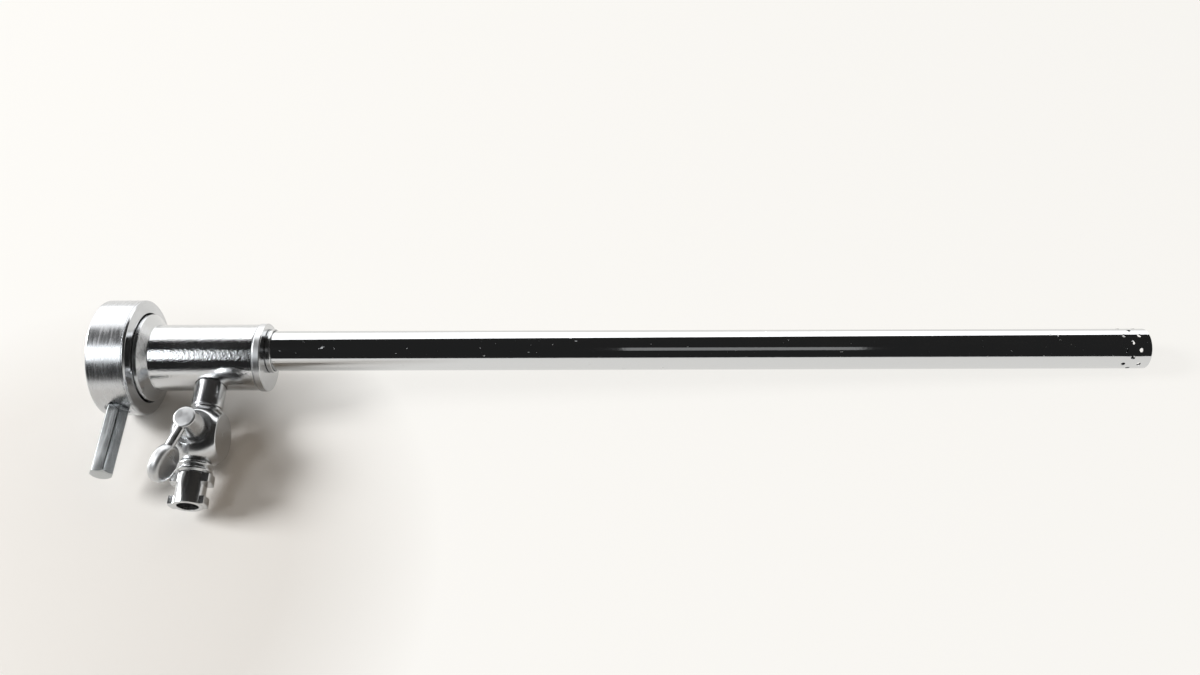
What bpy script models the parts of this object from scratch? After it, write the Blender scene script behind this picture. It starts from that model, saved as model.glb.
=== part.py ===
"""Steel trocar cannula: a vented tube, a valve housing, a lever-turned lock ring and a side stopcock.

Sizes are in millimetres and the helpers turn them into metres. The cannula lies along X with its
tip at +X. The stopcock leaves the housing along FLOW, and its plug turns about PLUG.
"""

import math

import bmesh
import bpy
from mathutils import Matrix, Vector

MM = 0.001
ASSEMBLY = "trocar_cannula"

# Clearances
FIT = 0.1  # pieces that are soldered, pressed or screwed together
RUN = 0.3  # pieces that turn or slide on each other
PLUG_FIT = 0.15  # ground plug in its seat

# Facets round a full turn and along a curve
LARGE_STEPS = 40
SMALL_STEPS = 28
TINY_STEPS = 12
VENT_STEPS = 8
BALL_STEPS = 12
ROUND_STEPS = 2

# Cannula tube
TUBE_RADIUS = 4.3
TUBE_WALL = 0.35
TUBE_OFFSET = 1.6
TUBE_REACH = 188.2
TUBE_ROOT = 2.2
TUBE_TIP_ROUND = 0.12
COLLAR_WALL = 0.9
COLLAR_LENGTH = 1.0
COLLAR_ROUND = 0.2
VENT_RADIUS = 0.45
VENT_FIRST = 2.3
VENT_PITCH = 1.65
VENT_ROWS = 3
VENTS_PER_ROW = 8

# Valve housing
BODY_WALL = 0.65
BODY_LENGTH = 21.5
SIDE_ROOM = 0.4
SOCKET_STEP = 0.3
HUB_WALL = 1.25
WEB_THICKNESS = 1.2
FLANGE_RADIUS = 9.35
FLANGE_STAND = 1.8
FLANGE_ROUND = 0.25
NUT_WIDTH = 1.8
NUT_THICKNESS = 1.4
NUT_SETBACK = 0.2
SPANNER_SLOT = 1.4
SPANNER_DEPTH = 0.6
O_RING_SECTION = 0.4
O_RING_GROOVE_WIDTH = 1.2
O_RING_SETBACK = 1.0
O_RING_INSET = 0.5

# Lock ring
RING_WALL = 1.75
RING_SIDE_ROOM = 0.7
RING_RIB_THICKNESS = 1.1
RING_NOSE_LENGTH = 1.0
RING_NOSE_WALL = 0.65
RING_REAR_ROUND = 0.4
RING_FRONT_ROUND = 0.2
PLATE_RECESS = 0.2
PLATE_THICKNESS = 1.0
PIN_SPACE = 1.8
NOTCH_DEPTH = 1.7
NOTCH_WIDTH = 3.0

# Lever
LEVER_FLATS = 4.2
LEVER_LENGTH = 15.0
LEVER_SETBACK = 3.8
LEVER_ANGLE = 10.0
LEVER_TIP_CHAMFER = 0.35
SPOT_DEPTH = 0.45
SPOT_MARGIN = 0.2
STUD_RADIUS = 1.4
STUD_INSET = 0.2

# End cap
END_CAP_RIM = 1.6
END_CAP_LIP = 0.2
END_CAP_SPIGOT = 2.2
END_CAP_SPIGOT_WALL = 0.4
END_CAP_FLOOR = 1.2
END_CAP_ROUND = 0.2

# Rubber entry seal and its ring
SEAL_THICKNESS = 2.2
SEAL_GRIP = 0.35
SEAL_LEAD_IN = 1.0
RETAINER_THICKNESS = 1.8

# Flap valve
SEAT_THICKNESS = 1.4
GASKET_WIDTH = 0.6
GASKET_THICKNESS = 0.45
FLAP_LAP = 0.5
FLAP_THICKNESS = 0.9
FLAP_LIFT = 0.15
TONGUE_THICKNESS = 0.72
HINGE_STANDOFF = 1.1
PIN_RADIUS = 0.45
PIN_STAND = 0.2
KNUCKLE_WALL = 0.4
KNUCKLE_START = 1.6
KNUCKLE_LENGTH = 1.05
EAR_WALL = 0.35
EAR_THICKNESS = 0.7
FLAP_SPRING_WIRE = 0.14
FLAP_SPRING_TURNS = 4

# Stopcock
TAP_STATION = 22.6
FLOW_ANGLE = 12.0
PASSAGE_RADIUS = 1.3
SPIGOT_WALL = 1.3
FERRULE_WALL = 0.5
FERRULE_INSET = 1.5
FERRULE_STAND = 5.1
FERRULE_SOCKET_DEPTH = 2.4
FERRULE_ROUND = 0.3
NECK_STEP = 0.5
NECK_LENGTH = 0.57
BALL_RADIUS = 6.6
SIDE_CUT = 2.0
TOP_CUT = 1.3
BOTTOM_CUT = 1.2
OUTLET_WALL = 0.9
OUTLET_NECK_STEP = 0.8
PLUG_TOP_RADIUS = 2.75
PLUG_BOTTOM_RADIUS = 2.15

# Plug, handle, washer, spring and nut
HANDLE_ANGLE = 20.0
STUD_NECK_RADIUS = 1.2
TANG_WIDTH = 2.4
TANG_HEIGHT = 2.4
HANDLE_HUB_LAP = 0.2
HANDLE_HUB_DRAFT = 0.75
HANDLE_HUB_ROUND = 0.35
HANDLE_HUB_CROWN = 0.1
ARM_RADIUS = 1.0
ARM_HEIGHT = 3.8
ARM_BITE = 1.1
PADDLE_REACH = 9.4
PADDLE_DROP = 1.5
PADDLE_RADIUS = 3.9
PADDLE_THICKNESS = 2.4
PADDLE_ROUND = 0.8
WASHER_LAP = 0.3
WASHER_THICKNESS = 0.4
PLUG_SPRING_STEP = 0.65
PLUG_SPRING_WIRE = 0.18
PLUG_SPRING_HEIGHT = 0.85
PLUG_SPRING_TURNS = 0.9
PLUG_NUT_WIDTH = 1.2
PLUG_NUT_THICKNESS = 1.1
PLUG_NUT_ROUND = 0.5
PLUG_NUT_SLOT = 0.7
PLUG_NUT_SLOT_DEPTH = 0.35

# Luer outlet
UNION_WALL = 0.85
UNION_RIDGE = 0.65
UNION_ROUND = 0.3
UNION_LENGTH = 2.4
LUER_WALL = 0.75
LUER_LENGTH = 6.6
LUER_ROUND = 0.15
EAR_SPAN = 1.2
EAR_WIDTH = 3.8
EAR_LENGTH = 1.8
LUG_SPAN = 0.85
LUG_WIDTH = 3.2
LUG_LENGTH = 1.7
LUER_MOUTH_RADIUS = 2.15
LUER_TAPER = 0.03
LUER_SOCKET_DEPTH = 2.0
LUER_WEB = 0.6

# Radii worked out from the sizes above
BORE_RADIUS = TUBE_RADIUS - TUBE_WALL
COLLAR_RADIUS = TUBE_RADIUS + FIT + COLLAR_WALL
SEAT_HOLE_RADIUS = BORE_RADIUS
SEAL_HOLE_RADIUS = BORE_RADIUS - SEAL_GRIP
RETAINER_HOLE_RADIUS = SEAL_HOLE_RADIUS + SEAL_LEAD_IN
FLAP_RADIUS = SEAT_HOLE_RADIUS + FLAP_LAP
CHAMBER_RADIUS = TUBE_OFFSET + FLAP_RADIUS + SIDE_ROOM
BODY_RADIUS = CHAMBER_RADIUS + BODY_WALL
END_CAP_RADIUS = BODY_RADIUS + END_CAP_LIP
SOCKET_RADIUS = CHAMBER_RADIUS + SOCKET_STEP
HUB_RADIUS = SOCKET_RADIUS + HUB_WALL
NUT_OUTER_RADIUS = HUB_RADIUS + FIT + NUT_WIDTH
COUNTERBORE_RADIUS = NUT_OUTER_RADIUS + RING_SIDE_ROOM
RING_RADIUS = COUNTERBORE_RADIUS + RING_WALL
RING_BORE_RADIUS = FLANGE_RADIUS + RUN
RING_NOSE_RADIUS = RING_BORE_RADIUS + RING_NOSE_WALL
NOTCH_RADIUS = HUB_RADIUS + NOTCH_DEPTH
KNUCKLE_RADIUS = PIN_RADIUS + FIT + KNUCKLE_WALL
EAR_RADIUS = PIN_RADIUS + FIT + EAR_WALL
SPIGOT_RADIUS = PASSAGE_RADIUS + SPIGOT_WALL
FERRULE_RADIUS = SPIGOT_RADIUS + FIT + FERRULE_WALL
NECK_RADIUS = SPIGOT_RADIUS + NECK_STEP
OUTLET_SPIGOT_RADIUS = PASSAGE_RADIUS + OUTLET_WALL
OUTLET_NECK_RADIUS = OUTLET_SPIGOT_RADIUS + OUTLET_NECK_STEP
OUTLET_BORE_RADIUS = OUTLET_SPIGOT_RADIUS + FIT
UNION_VALLEY_RADIUS = OUTLET_BORE_RADIUS + UNION_WALL
UNION_RIDGE_RADIUS = UNION_VALLEY_RADIUS + UNION_RIDGE
LUER_RADIUS = OUTLET_BORE_RADIUS + LUER_WALL
WASHER_RADIUS = PLUG_BOTTOM_RADIUS + PLUG_FIT + WASHER_LAP
PLUG_SPRING_RADIUS = STUD_NECK_RADIUS + PLUG_SPRING_STEP
PLUG_NUT_RADIUS = STUD_NECK_RADIUS + FIT + PLUG_NUT_WIDTH
HANDLE_HUB_RADIUS = PLUG_TOP_RADIUS + HANDLE_HUB_LAP

# Stations along the cannula, from the rear face of the lock ring
HUB_START = PLATE_RECESS + PLATE_THICKNESS + PIN_SPACE
NUT_START = HUB_START + NUT_SETBACK
RING_RIB_START = NUT_START + NUT_THICKNESS + RUN
RING_RIB_END = RING_RIB_START + RING_RIB_THICKNESS
FLANGE_START = RING_RIB_END + RUN
GROOVE_START = FLANGE_START + O_RING_INSET
GROOVE_END = GROOVE_START + O_RING_GROOVE_WIDTH
RING_END = GROOVE_END + O_RING_SETBACK
RING_SIDE_END = RING_END - RING_NOSE_LENGTH
LEVER_STATION = RING_SIDE_END - LEVER_SETBACK
FLANGE_END = RING_END + FLANGE_STAND
SEAL_START = HUB_START + RETAINER_THICKNESS + FIT
SOCKET_END = SEAL_START + SEAL_THICKNESS + FIT
CHAMBER_START = SOCKET_END + WEB_THICKNESS
SEAT_START = CHAMBER_START + FIT
SEAT_END = SEAT_START + SEAT_THICKNESS
GASKET_START = SEAT_END + FIT
FLAP_START = GASKET_START + GASKET_THICKNESS + FLAP_LIFT
HINGE_STATION = FLAP_START + FLAP_THICKNESS / 2
BODY_END = FLANGE_END + BODY_LENGTH
CAP_FACE = BODY_END + FIT + END_CAP_RIM
TIP = CAP_FACE + TUBE_REACH

# Stations across the flap's hinge, along the outlet and along the plug
HINGE_OFFSET = FLAP_RADIUS + HINGE_STANDOFF - TUBE_OFFSET
KNUCKLE_END = KNUCKLE_START + KNUCKLE_LENGTH
EAR_START = KNUCKLE_END + RUN
PIN_HALF_LENGTH = EAR_START + EAR_THICKNESS + PIN_STAND
FERRULE_START = BODY_RADIUS - FERRULE_INSET
FERRULE_END = BODY_RADIUS + FERRULE_STAND
FERRULE_SOCKET_START = FERRULE_END - FERRULE_SOCKET_DEPTH
TAP_CENTRE = FERRULE_END + NECK_LENGTH + math.sqrt(BALL_RADIUS**2 - NECK_RADIUS**2)
BALL_END = TAP_CENTRE + math.sqrt(BALL_RADIUS**2 - OUTLET_NECK_RADIUS**2)
UNION_START = BALL_END + FIT
UNION_END = UNION_START + UNION_LENGTH
LUER_START = UNION_END + FIT
LUER_SOCKET_END = LUER_START + LUER_SOCKET_DEPTH
OUTLET_END = LUER_SOCKET_END - RUN
LUER_END = LUER_START + LUER_LENGTH
SIDE_FLAT = BALL_RADIUS - SIDE_CUT
TOP_FLAT = BALL_RADIUS - TOP_CUT
BOTTOM_FLAT = BALL_RADIUS - BOTTOM_CUT
HANDLE_START = TOP_FLAT + FIT
ARM_LEVEL = HANDLE_START + ARM_HEIGHT
PADDLE_LEVEL = ARM_LEVEL - PADDLE_DROP
HANDLE_HUB_TOP = ARM_LEVEL + ARM_RADIUS + HANDLE_HUB_CROWN
ARM_LENGTH = PADDLE_REACH - PADDLE_RADIUS + ARM_BITE
WASHER_TOP = -BOTTOM_FLAT - FIT
WASHER_BOTTOM = WASHER_TOP - WASHER_THICKNESS
NUT_TOP = WASHER_BOTTOM - FIT - PLUG_SPRING_HEIGHT - FIT
NUT_BOTTOM = NUT_TOP - PLUG_NUT_THICKNESS

# Directions, and the cannula axis placed so that the origin lies under the middle of the whole part
ALONG = Vector((1, 0, 0))
UP = Vector((0, 0, 1))


def below_level(degrees):
    angle = math.radians(degrees)
    return Vector((0, -math.cos(angle), -math.sin(angle)))


FLOW = below_level(FLOW_ANGLE)
LEVER = below_level(LEVER_ANGLE)
PLUG = ALONG.cross(FLOW) * -1
LUER_REACH = -(FLOW * LUER_END).y + LUER_RADIUS * abs(PLUG.y)
REAR = Vector((-TIP / 2, (LUER_REACH - RING_RADIUS) / 2, RING_RADIUS))
BORE = REAR - FLOW * TUBE_OFFSET
TAP_ROOT = REAR + ALONG * TAP_STATION
TAP = TAP_ROOT + FLOW * TAP_CENTRE
HANDLE = FLOW * math.cos(math.radians(HANDLE_ANGLE)) - ALONG * math.sin(math.radians(HANDLE_ANGLE))


def clear_scene():
    for obj in list(bpy.data.objects):
        bpy.data.objects.remove(obj, do_unlink=True)


def new_collection(name):
    collection = bpy.data.collections.new(name)
    bpy.context.scene.collection.children.link(collection)
    return collection


def steel(name, colour, roughness, metallic=1.0):
    material = bpy.data.materials.new(name)
    material.use_nodes = True
    shader = material.node_tree.nodes["Principled BSDF"]
    shader.inputs["Base Color"].default_value = (*colour, 1)
    shader.inputs["Roughness"].default_value = roughness
    shader.inputs["Metallic"].default_value = metallic
    return material


clear_scene()
PARTS = new_collection(ASSEMBLY)
CUTTERS = new_collection("cutters")
COLOURS = {
    "polished": ((0.62, 0.63, 0.64), 0.08, 1.0),
    "satin": ((0.56, 0.57, 0.58), 0.28, 1.0),
    "spring": ((0.45, 0.46, 0.48), 0.30, 1.0),
    "rubber": ((0.03, 0.03, 0.035), 0.60, 0.0),
}


def finish(obj, kind):
    """Gives the piece its own material and shades its round faces smooth."""
    colour, roughness, metallic = COLOURS[kind]
    obj.data.materials.clear()
    obj.data.materials.append(steel(f"{obj.name}_{kind}", colour, roughness, metallic))
    return obj


def frame_along(origin, direction, side):
    """A frame with local Z along the direction and local X leaning towards side."""
    z = direction.normalized()
    x = (side - side.dot(z) * z).normalized()
    frame = Matrix((x, z.cross(x), z)).transposed().to_4x4()
    frame.translation = origin * MM
    return frame


CANNULA = frame_along(REAR, ALONG, UP)
BORE_LINE = frame_along(BORE, ALONG, UP)
OUTLET = frame_along(TAP_ROOT, FLOW, ALONG)
PLUG_LINE = frame_along(TAP, PLUG, HANDLE)
LEVER_LINE = frame_along(REAR + ALONG * LEVER_STATION, LEVER, ALONG)
HINGE = frame_along(REAR + ALONG * HINGE_STATION + FLOW * HINGE_OFFSET, PLUG, ALONG)


def place(name, mesh, frame, kind):
    """Links a mesh as a named piece, or as a hidden cutter when kind is None."""
    obj = bpy.data.objects.new(name, mesh)
    obj.matrix_world = frame
    if kind is None:
        CUTTERS.objects.link(obj)
        obj.hide_render = True
        obj.display_type = "WIRE"
        return obj
    PARTS.objects.link(obj)
    return finish(obj, kind)


def rounded(corners):
    """Corner points (radius, height), each with an optional third value that rounds it."""
    points = []
    for index, corner in enumerate(corners):
        here = Vector(corner[:2])
        if len(corner) == 2:
            points.append(here)
            continue
        before = (Vector(corners[index - 1][:2]) - here).normalized()
        after = (Vector(corners[(index + 1) % len(corners)][:2]) - here).normalized()
        half = before.angle(after) / 2
        centre = here + (before + after).normalized() * corner[2] / math.sin(half)
        start = (here + before * corner[2] / math.tan(half) - centre).normalized()
        end = (here + after * corner[2] / math.tan(half) - centre).normalized()
        for step in range(ROUND_STEPS + 1):
            points.append(centre + start.slerp(end, step / ROUND_STEPS) * corner[2])
    return points


def turned(name, frame, corners, kind, turn=LARGE_STEPS):
    """Turns a profile about local Z. It runs down the outer side, and closes unless it meets the axis."""
    points = rounded(corners)
    mesh = bpy.data.meshes.new(name)
    edges = [(i, i + 1) for i in range(len(points) - 1)]
    if points[0].x > 0:
        edges.append((len(points) - 1, 0))
    mesh.from_pydata([(p.x * MM, 0, p.y * MM) for p in points], edges, [])
    obj = place(name, mesh, frame, kind)
    screw = obj.modifiers.new("turn", "SCREW")
    screw.axis = "Z"
    screw.steps = turn
    screw.render_steps = turn
    screw.use_merge_vertices = True
    screw.merge_threshold = 1e-7
    screw.use_smooth_shade = True
    return obj


def rod(name, frame, radius, start, end, kind=None, turn=SMALL_STEPS, end_radius=None):
    """A straight or tapered round bar between two heights on local Z."""
    mesh = bpy.data.meshes.new(name)
    shape = bmesh.new()
    bmesh.ops.create_cone(
        shape,
        cap_ends=True,
        segments=turn,
        radius1=radius * MM,
        radius2=(radius if end_radius is None else end_radius) * MM,
        depth=(end - start) * MM,
        matrix=Matrix.Translation((0, 0, (start + end) / 2 * MM)),
    )
    shape.to_mesh(mesh)
    shape.free()
    return place(name, mesh, frame, kind)


def block(name, frame, low, high, kind=None):
    """A box between two corners of the frame."""
    low, high = Vector(low) * MM, Vector(high) * MM
    mesh = bpy.data.meshes.new(name)
    shape = bmesh.new()
    bmesh.ops.create_cube(
        shape,
        size=1,
        matrix=Matrix.Translation((low + high) / 2) @ Matrix.Diagonal((*(high - low), 1)),
    )
    shape.to_mesh(mesh)
    shape.free()
    return place(name, mesh, frame, kind)


def combine(obj, other, operation):
    change = obj.modifiers.new(other.name, "BOOLEAN")
    change.operation = operation
    change.object = other
    change.solver = "EXACT"
    return obj


def cut(obj, *cutters):
    for cutter in cutters:
        combine(obj, cutter, "DIFFERENCE")
    return obj


def join(obj, *others):
    for other in others:
        combine(obj, other, "UNION")
    return obj


def wire(name, frame, points, radius, kind):
    """A bent wire through the points, with flat ends."""
    curve = bpy.data.curves.new(name, "CURVE")
    curve.dimensions = "3D"
    curve.bevel_depth = radius * MM
    curve.bevel_resolution = 1
    curve.use_fill_caps = True
    spline = curve.splines.new("POLY")
    spline.points.add(len(points) - 1)
    for target, point in zip(spline.points, points):
        target.co = (*(Vector(point) * MM), 1)
    return place(name, curve, frame, kind)


def coil(radius, start, height, turns, per_turn):
    """Points of a helix about local Z."""
    count = round(turns * per_turn)
    points = []
    for step in range(count + 1):
        share = step / count
        angle = share * turns * 2 * math.pi
        points.append((radius * math.cos(angle), radius * math.sin(angle), start + share * height))
    return points


def spanner_slots(name, frame, radius, face, depth):
    """Two slots cut across a ring's face, for a pin spanner."""
    half = SPANNER_SLOT / 2
    return block(name, frame, (-half, -radius, face - 1), (half, radius, face + depth))


def make_cannula():
    root = CAP_FACE - END_CAP_FLOOR - TUBE_ROOT
    tube = turned(
        "cannula_tube",
        BORE_LINE,
        [
            (TUBE_RADIUS, TIP, TUBE_TIP_ROUND),
            (TUBE_RADIUS, root),
            (BORE_RADIUS, root),
            (BORE_RADIUS, TIP, TUBE_TIP_ROUND),
        ],
        "polished",
    )
    vents = bpy.data.collections.new("vents")
    CUTTERS.children.link(vents)
    for row in range(VENT_ROWS):
        station = TIP - VENT_FIRST - row * VENT_PITCH
        for index in range(VENTS_PER_ROW // 2):
            angle = (index + row % 2 / 2) * 2 * math.pi / VENTS_PER_ROW
            side = Vector((0, math.cos(angle), math.sin(angle)))
            frame = frame_along(BORE + ALONG * station, side, ALONG)
            vent = rod(f"vent_{row}_{index}", frame, VENT_RADIUS, -BODY_RADIUS, BODY_RADIUS, turn=VENT_STEPS)
            CUTTERS.objects.unlink(vent)
            vents.objects.link(vent)
    drill = tube.modifiers.new("vents", "BOOLEAN")
    drill.operation = "DIFFERENCE"
    drill.operand_type = "COLLECTION"
    drill.collection = vents
    drill.solver = "EXACT"
    turned(
        "tube_collar",
        BORE_LINE,
        [
            (COLLAR_RADIUS, CAP_FACE + FIT + COLLAR_LENGTH, COLLAR_ROUND),
            (COLLAR_RADIUS, CAP_FACE + FIT),
            (TUBE_RADIUS + FIT, CAP_FACE + FIT),
            (TUBE_RADIUS + FIT, CAP_FACE + FIT + COLLAR_LENGTH),
        ],
        "polished",
    )


def make_housing():
    groove_floor = FLANGE_RADIUS + RUN - 2 * O_RING_SECTION - FIT
    housing = turned(
        "valve_housing",
        CANNULA,
        [
            (0, CHAMBER_START),
            (CHAMBER_RADIUS, CHAMBER_START),
            (CHAMBER_RADIUS, BODY_END),
            (BODY_RADIUS, BODY_END),
            (BODY_RADIUS, FLANGE_END),
            (FLANGE_RADIUS, FLANGE_END, FLANGE_ROUND),
            (FLANGE_RADIUS, GROOVE_END),
            (groove_floor, GROOVE_END),
            (groove_floor, GROOVE_START),
            (FLANGE_RADIUS, GROOVE_START),
            (FLANGE_RADIUS, FLANGE_START),
            (HUB_RADIUS, FLANGE_START),
            (HUB_RADIUS, HUB_START),
            (SOCKET_RADIUS, HUB_START),
            (SOCKET_RADIUS, SOCKET_END),
            (0, SOCKET_END),
        ],
        "polished",
    )
    web_hole = rod("web_hole", BORE_LINE, RETAINER_HOLE_RADIUS, SOCKET_END - 1, CHAMBER_START + 1)
    port = rod("side_port", OUTLET, FERRULE_RADIUS + FIT, CHAMBER_RADIUS / 2, BODY_RADIUS + 1)
    cut(housing, web_hole, port)

    o_ring_centre = groove_floor + FIT / 2 + O_RING_SECTION
    o_ring_station = (GROOVE_START + GROOVE_END) / 2
    section = [k * math.pi / 3 for k in range(6)]
    turned(
        "ring_o_ring",
        CANNULA,
        [
            (o_ring_centre + O_RING_SECTION * math.cos(a), o_ring_station - O_RING_SECTION * math.sin(a))
            for a in section
        ],
        "rubber",
    )

    cap = turned(
        "end_cap",
        CANNULA,
        [
            (0, CAP_FACE),
            (END_CAP_RADIUS, CAP_FACE, END_CAP_ROUND),
            (END_CAP_RADIUS, BODY_END + FIT, END_CAP_ROUND),
            (CHAMBER_RADIUS - FIT, BODY_END + FIT),
            (CHAMBER_RADIUS - FIT, BODY_END - END_CAP_SPIGOT),
            (CHAMBER_RADIUS - FIT - END_CAP_SPIGOT_WALL, BODY_END - END_CAP_SPIGOT),
            (CHAMBER_RADIUS - FIT - END_CAP_SPIGOT_WALL, CAP_FACE - END_CAP_FLOOR),
            (0, CAP_FACE - END_CAP_FLOOR),
        ],
        "polished",
    )
    cut(cap, rod("cap_hole", BORE_LINE, TUBE_RADIUS + FIT, BODY_END - 1, CAP_FACE + 1, turn=LARGE_STEPS))


def make_entry_seal():
    end = SEAL_START + SEAL_THICKNESS
    seal = rod("entry_seal", CANNULA, SOCKET_RADIUS - FIT, SEAL_START, end, "rubber", LARGE_STEPS)
    lead_in = turned(
        "seal_hole",
        BORE_LINE,
        [
            (0, end + 1),
            (SEAL_HOLE_RADIUS, end + 1),
            (SEAL_HOLE_RADIUS, SEAL_START + SEAL_THICKNESS / 2),
            (RETAINER_HOLE_RADIUS, SEAL_START),
            (RETAINER_HOLE_RADIUS, SEAL_START - 1),
            (0, SEAL_START - 1),
        ],
        None,
        SMALL_STEPS,
    )
    cut(seal, lead_in)
    ring_end = HUB_START + RETAINER_THICKNESS
    ring = rod("seal_retainer", CANNULA, SOCKET_RADIUS - FIT, HUB_START, ring_end, "satin", LARGE_STEPS)
    hole = rod("retainer_hole", BORE_LINE, RETAINER_HOLE_RADIUS, HUB_START - 1, ring_end + 1)
    slots = spanner_slots("retainer_slots", CANNULA, SOCKET_RADIUS + 1, HUB_START, SPANNER_DEPTH)
    cut(ring, hole, slots)


def make_flap_valve():
    seat = rod("valve_seat", CANNULA, CHAMBER_RADIUS - FIT, SEAT_START, SEAT_END, "satin", LARGE_STEPS)
    for sign, side in ((1, "a"), (-1, "b")):
        low, high = sorted((sign * EAR_START, sign * (EAR_START + EAR_THICKNESS)))
        ear = rod(f"ear_{side}", HINGE, EAR_RADIUS, low, high, turn=TINY_STEPS)
        foot = SEAT_END - HINGE_STATION - SEAT_THICKNESS / 2
        leg = block(f"ear_leg_{side}", HINGE, (foot, -EAR_RADIUS, low), (0, EAR_RADIUS, high))
        join(seat, ear, leg)
    hole = rod("seat_hole", BORE_LINE, SEAT_HOLE_RADIUS, SEAT_START - 1, SEAT_END + 1)
    pin_hole = rod("ear_holes", HINGE, PIN_RADIUS + FIT, -BODY_RADIUS, BODY_RADIUS, turn=TINY_STEPS)
    cut(seat, hole, pin_hole)
    rod("flap_pin", HINGE, PIN_RADIUS, -PIN_HALF_LENGTH, PIN_HALF_LENGTH, "satin", TINY_STEPS)

    gasket_inner = SEAT_HOLE_RADIUS + FIT
    gasket_outer = gasket_inner + GASKET_WIDTH
    turned(
        "flap_gasket",
        BORE_LINE,
        [
            (gasket_outer, GASKET_START + GASKET_THICKNESS),
            (gasket_outer, GASKET_START),
            (gasket_inner, GASKET_START),
            (gasket_inner, GASKET_START + GASKET_THICKNESS),
        ],
        "rubber",
        SMALL_STEPS,
    )

    flap = rod(
        "flap_disc", BORE_LINE, FLAP_RADIUS, FLAP_START, FLAP_START + FLAP_THICKNESS, "polished", LARGE_STEPS
    )
    half = TONGUE_THICKNESS / 2
    coil_room = PIN_RADIUS + FIT + 2 * FLAP_SPRING_WIRE + RUN
    barrel = rod("knuckles", HINGE, KNUCKLE_RADIUS, -KNUCKLE_END, KNUCKLE_END, turn=TINY_STEPS)
    tongue = block("tongue", HINGE, (-half, 0, -KNUCKLE_END), (half, HINGE_OFFSET, KNUCKLE_END))
    gap = block(
        "knuckle_gap",
        HINGE,
        (-2 * KNUCKLE_RADIUS, -2 * KNUCKLE_RADIUS, -KNUCKLE_START),
        (2 * KNUCKLE_RADIUS, coil_room, KNUCKLE_START),
    )
    hinge_hole = rod("knuckle_holes", HINGE, PIN_RADIUS + FIT, -BODY_RADIUS, BODY_RADIUS, turn=TINY_STEPS)
    join(flap, barrel, tongue)
    cut(flap, gap, hinge_hole)

    radius = PIN_RADIUS + FIT + FLAP_SPRING_WIRE
    span = 2 * (KNUCKLE_START - RUN)
    points = coil(radius, -span / 2, span, FLAP_SPRING_TURNS, per_turn=8)
    wire("flap_spring", HINGE, points, FLAP_SPRING_WIRE, "spring")


def make_lock_ring():
    ring = turned(
        "lock_ring",
        CANNULA,
        [
            (RING_NOSE_RADIUS, RING_END),
            (RING_RADIUS, RING_SIDE_END, RING_FRONT_ROUND),
            (RING_RADIUS, 0, RING_REAR_ROUND),
            (COUNTERBORE_RADIUS, 0),
            (COUNTERBORE_RADIUS, RING_RIB_START),
            (HUB_RADIUS + RUN, RING_RIB_START),
            (HUB_RADIUS + RUN, RING_RIB_END),
            (RING_BORE_RADIUS, RING_RIB_END),
            (RING_BORE_RADIUS, RING_END),
        ],
        "satin",
    )
    corner = LEVER_FLATS / math.sqrt(3)
    spot_floor = RING_RADIUS - SPOT_DEPTH
    spot = rod("spot_face", LEVER_LINE, corner + SPOT_MARGIN, spot_floor, RING_RADIUS + 1)
    stud_end = COUNTERBORE_RADIUS + STUD_INSET
    hole_start = COUNTERBORE_RADIUS - RING_WALL / 2
    tapped = rod("stud_hole", LEVER_LINE, STUD_RADIUS + FIT, hole_start, RING_RADIUS, turn=TINY_STEPS)
    cut(ring, spot, tapped)

    tip = RING_RADIUS + LEVER_LENGTH
    lever_frame = LEVER_LINE @ Matrix.Rotation(math.pi / 6, 4, "Z")
    lever = rod(
        "lock_lever", lever_frame, corner, spot_floor + FIT, tip - LEVER_TIP_CHAMFER, "satin", turn=6
    )
    nose = rod(
        "lever_nose",
        lever_frame,
        corner,
        tip - 3 * LEVER_TIP_CHAMFER,
        tip,
        turn=6,
        end_radius=corner - LEVER_TIP_CHAMFER,
    )
    stud = rod("lever_stud", LEVER_LINE, STUD_RADIUS, stud_end, RING_RADIUS, turn=TINY_STEPS)
    join(lever, nose, stud)

    plate_end = PLATE_RECESS + PLATE_THICKNESS
    plate = turned(
        "bayonet_plate",
        CANNULA,
        [
            (COUNTERBORE_RADIUS - FIT, plate_end),
            (COUNTERBORE_RADIUS - FIT, PLATE_RECESS),
            (HUB_RADIUS, PLATE_RECESS),
            (HUB_RADIUS, plate_end),
        ],
        "satin",
    )
    half = NOTCH_WIDTH / 2
    notch = block(
        "bayonet_notches",
        CANNULA,
        (-half, -NOTCH_RADIUS, PLATE_RECESS - 1),
        (half, NOTCH_RADIUS, plate_end + 1),
    )
    cut(plate, notch)

    nut = turned(
        "retaining_nut",
        CANNULA,
        [
            (NUT_OUTER_RADIUS, NUT_START + NUT_THICKNESS),
            (NUT_OUTER_RADIUS, NUT_START),
            (HUB_RADIUS + FIT, NUT_START),
            (HUB_RADIUS + FIT, NUT_START + NUT_THICKNESS),
        ],
        "satin",
    )
    cut(nut, spanner_slots("nut_slots", CANNULA, NUT_OUTER_RADIUS + 1, NUT_START, SPANNER_DEPTH))


def make_ferrule():
    socket = SPIGOT_RADIUS + FIT
    turned(
        "tap_ferrule",
        OUTLET,
        [
            (FERRULE_RADIUS, FERRULE_END, FERRULE_ROUND),
            (FERRULE_RADIUS, FERRULE_START),
            (PASSAGE_RADIUS, FERRULE_START),
            (PASSAGE_RADIUS, FERRULE_SOCKET_START),
            (socket, FERRULE_SOCKET_START),
            (socket, FERRULE_END),
        ],
        "polished",
        SMALL_STEPS,
    )


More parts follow.
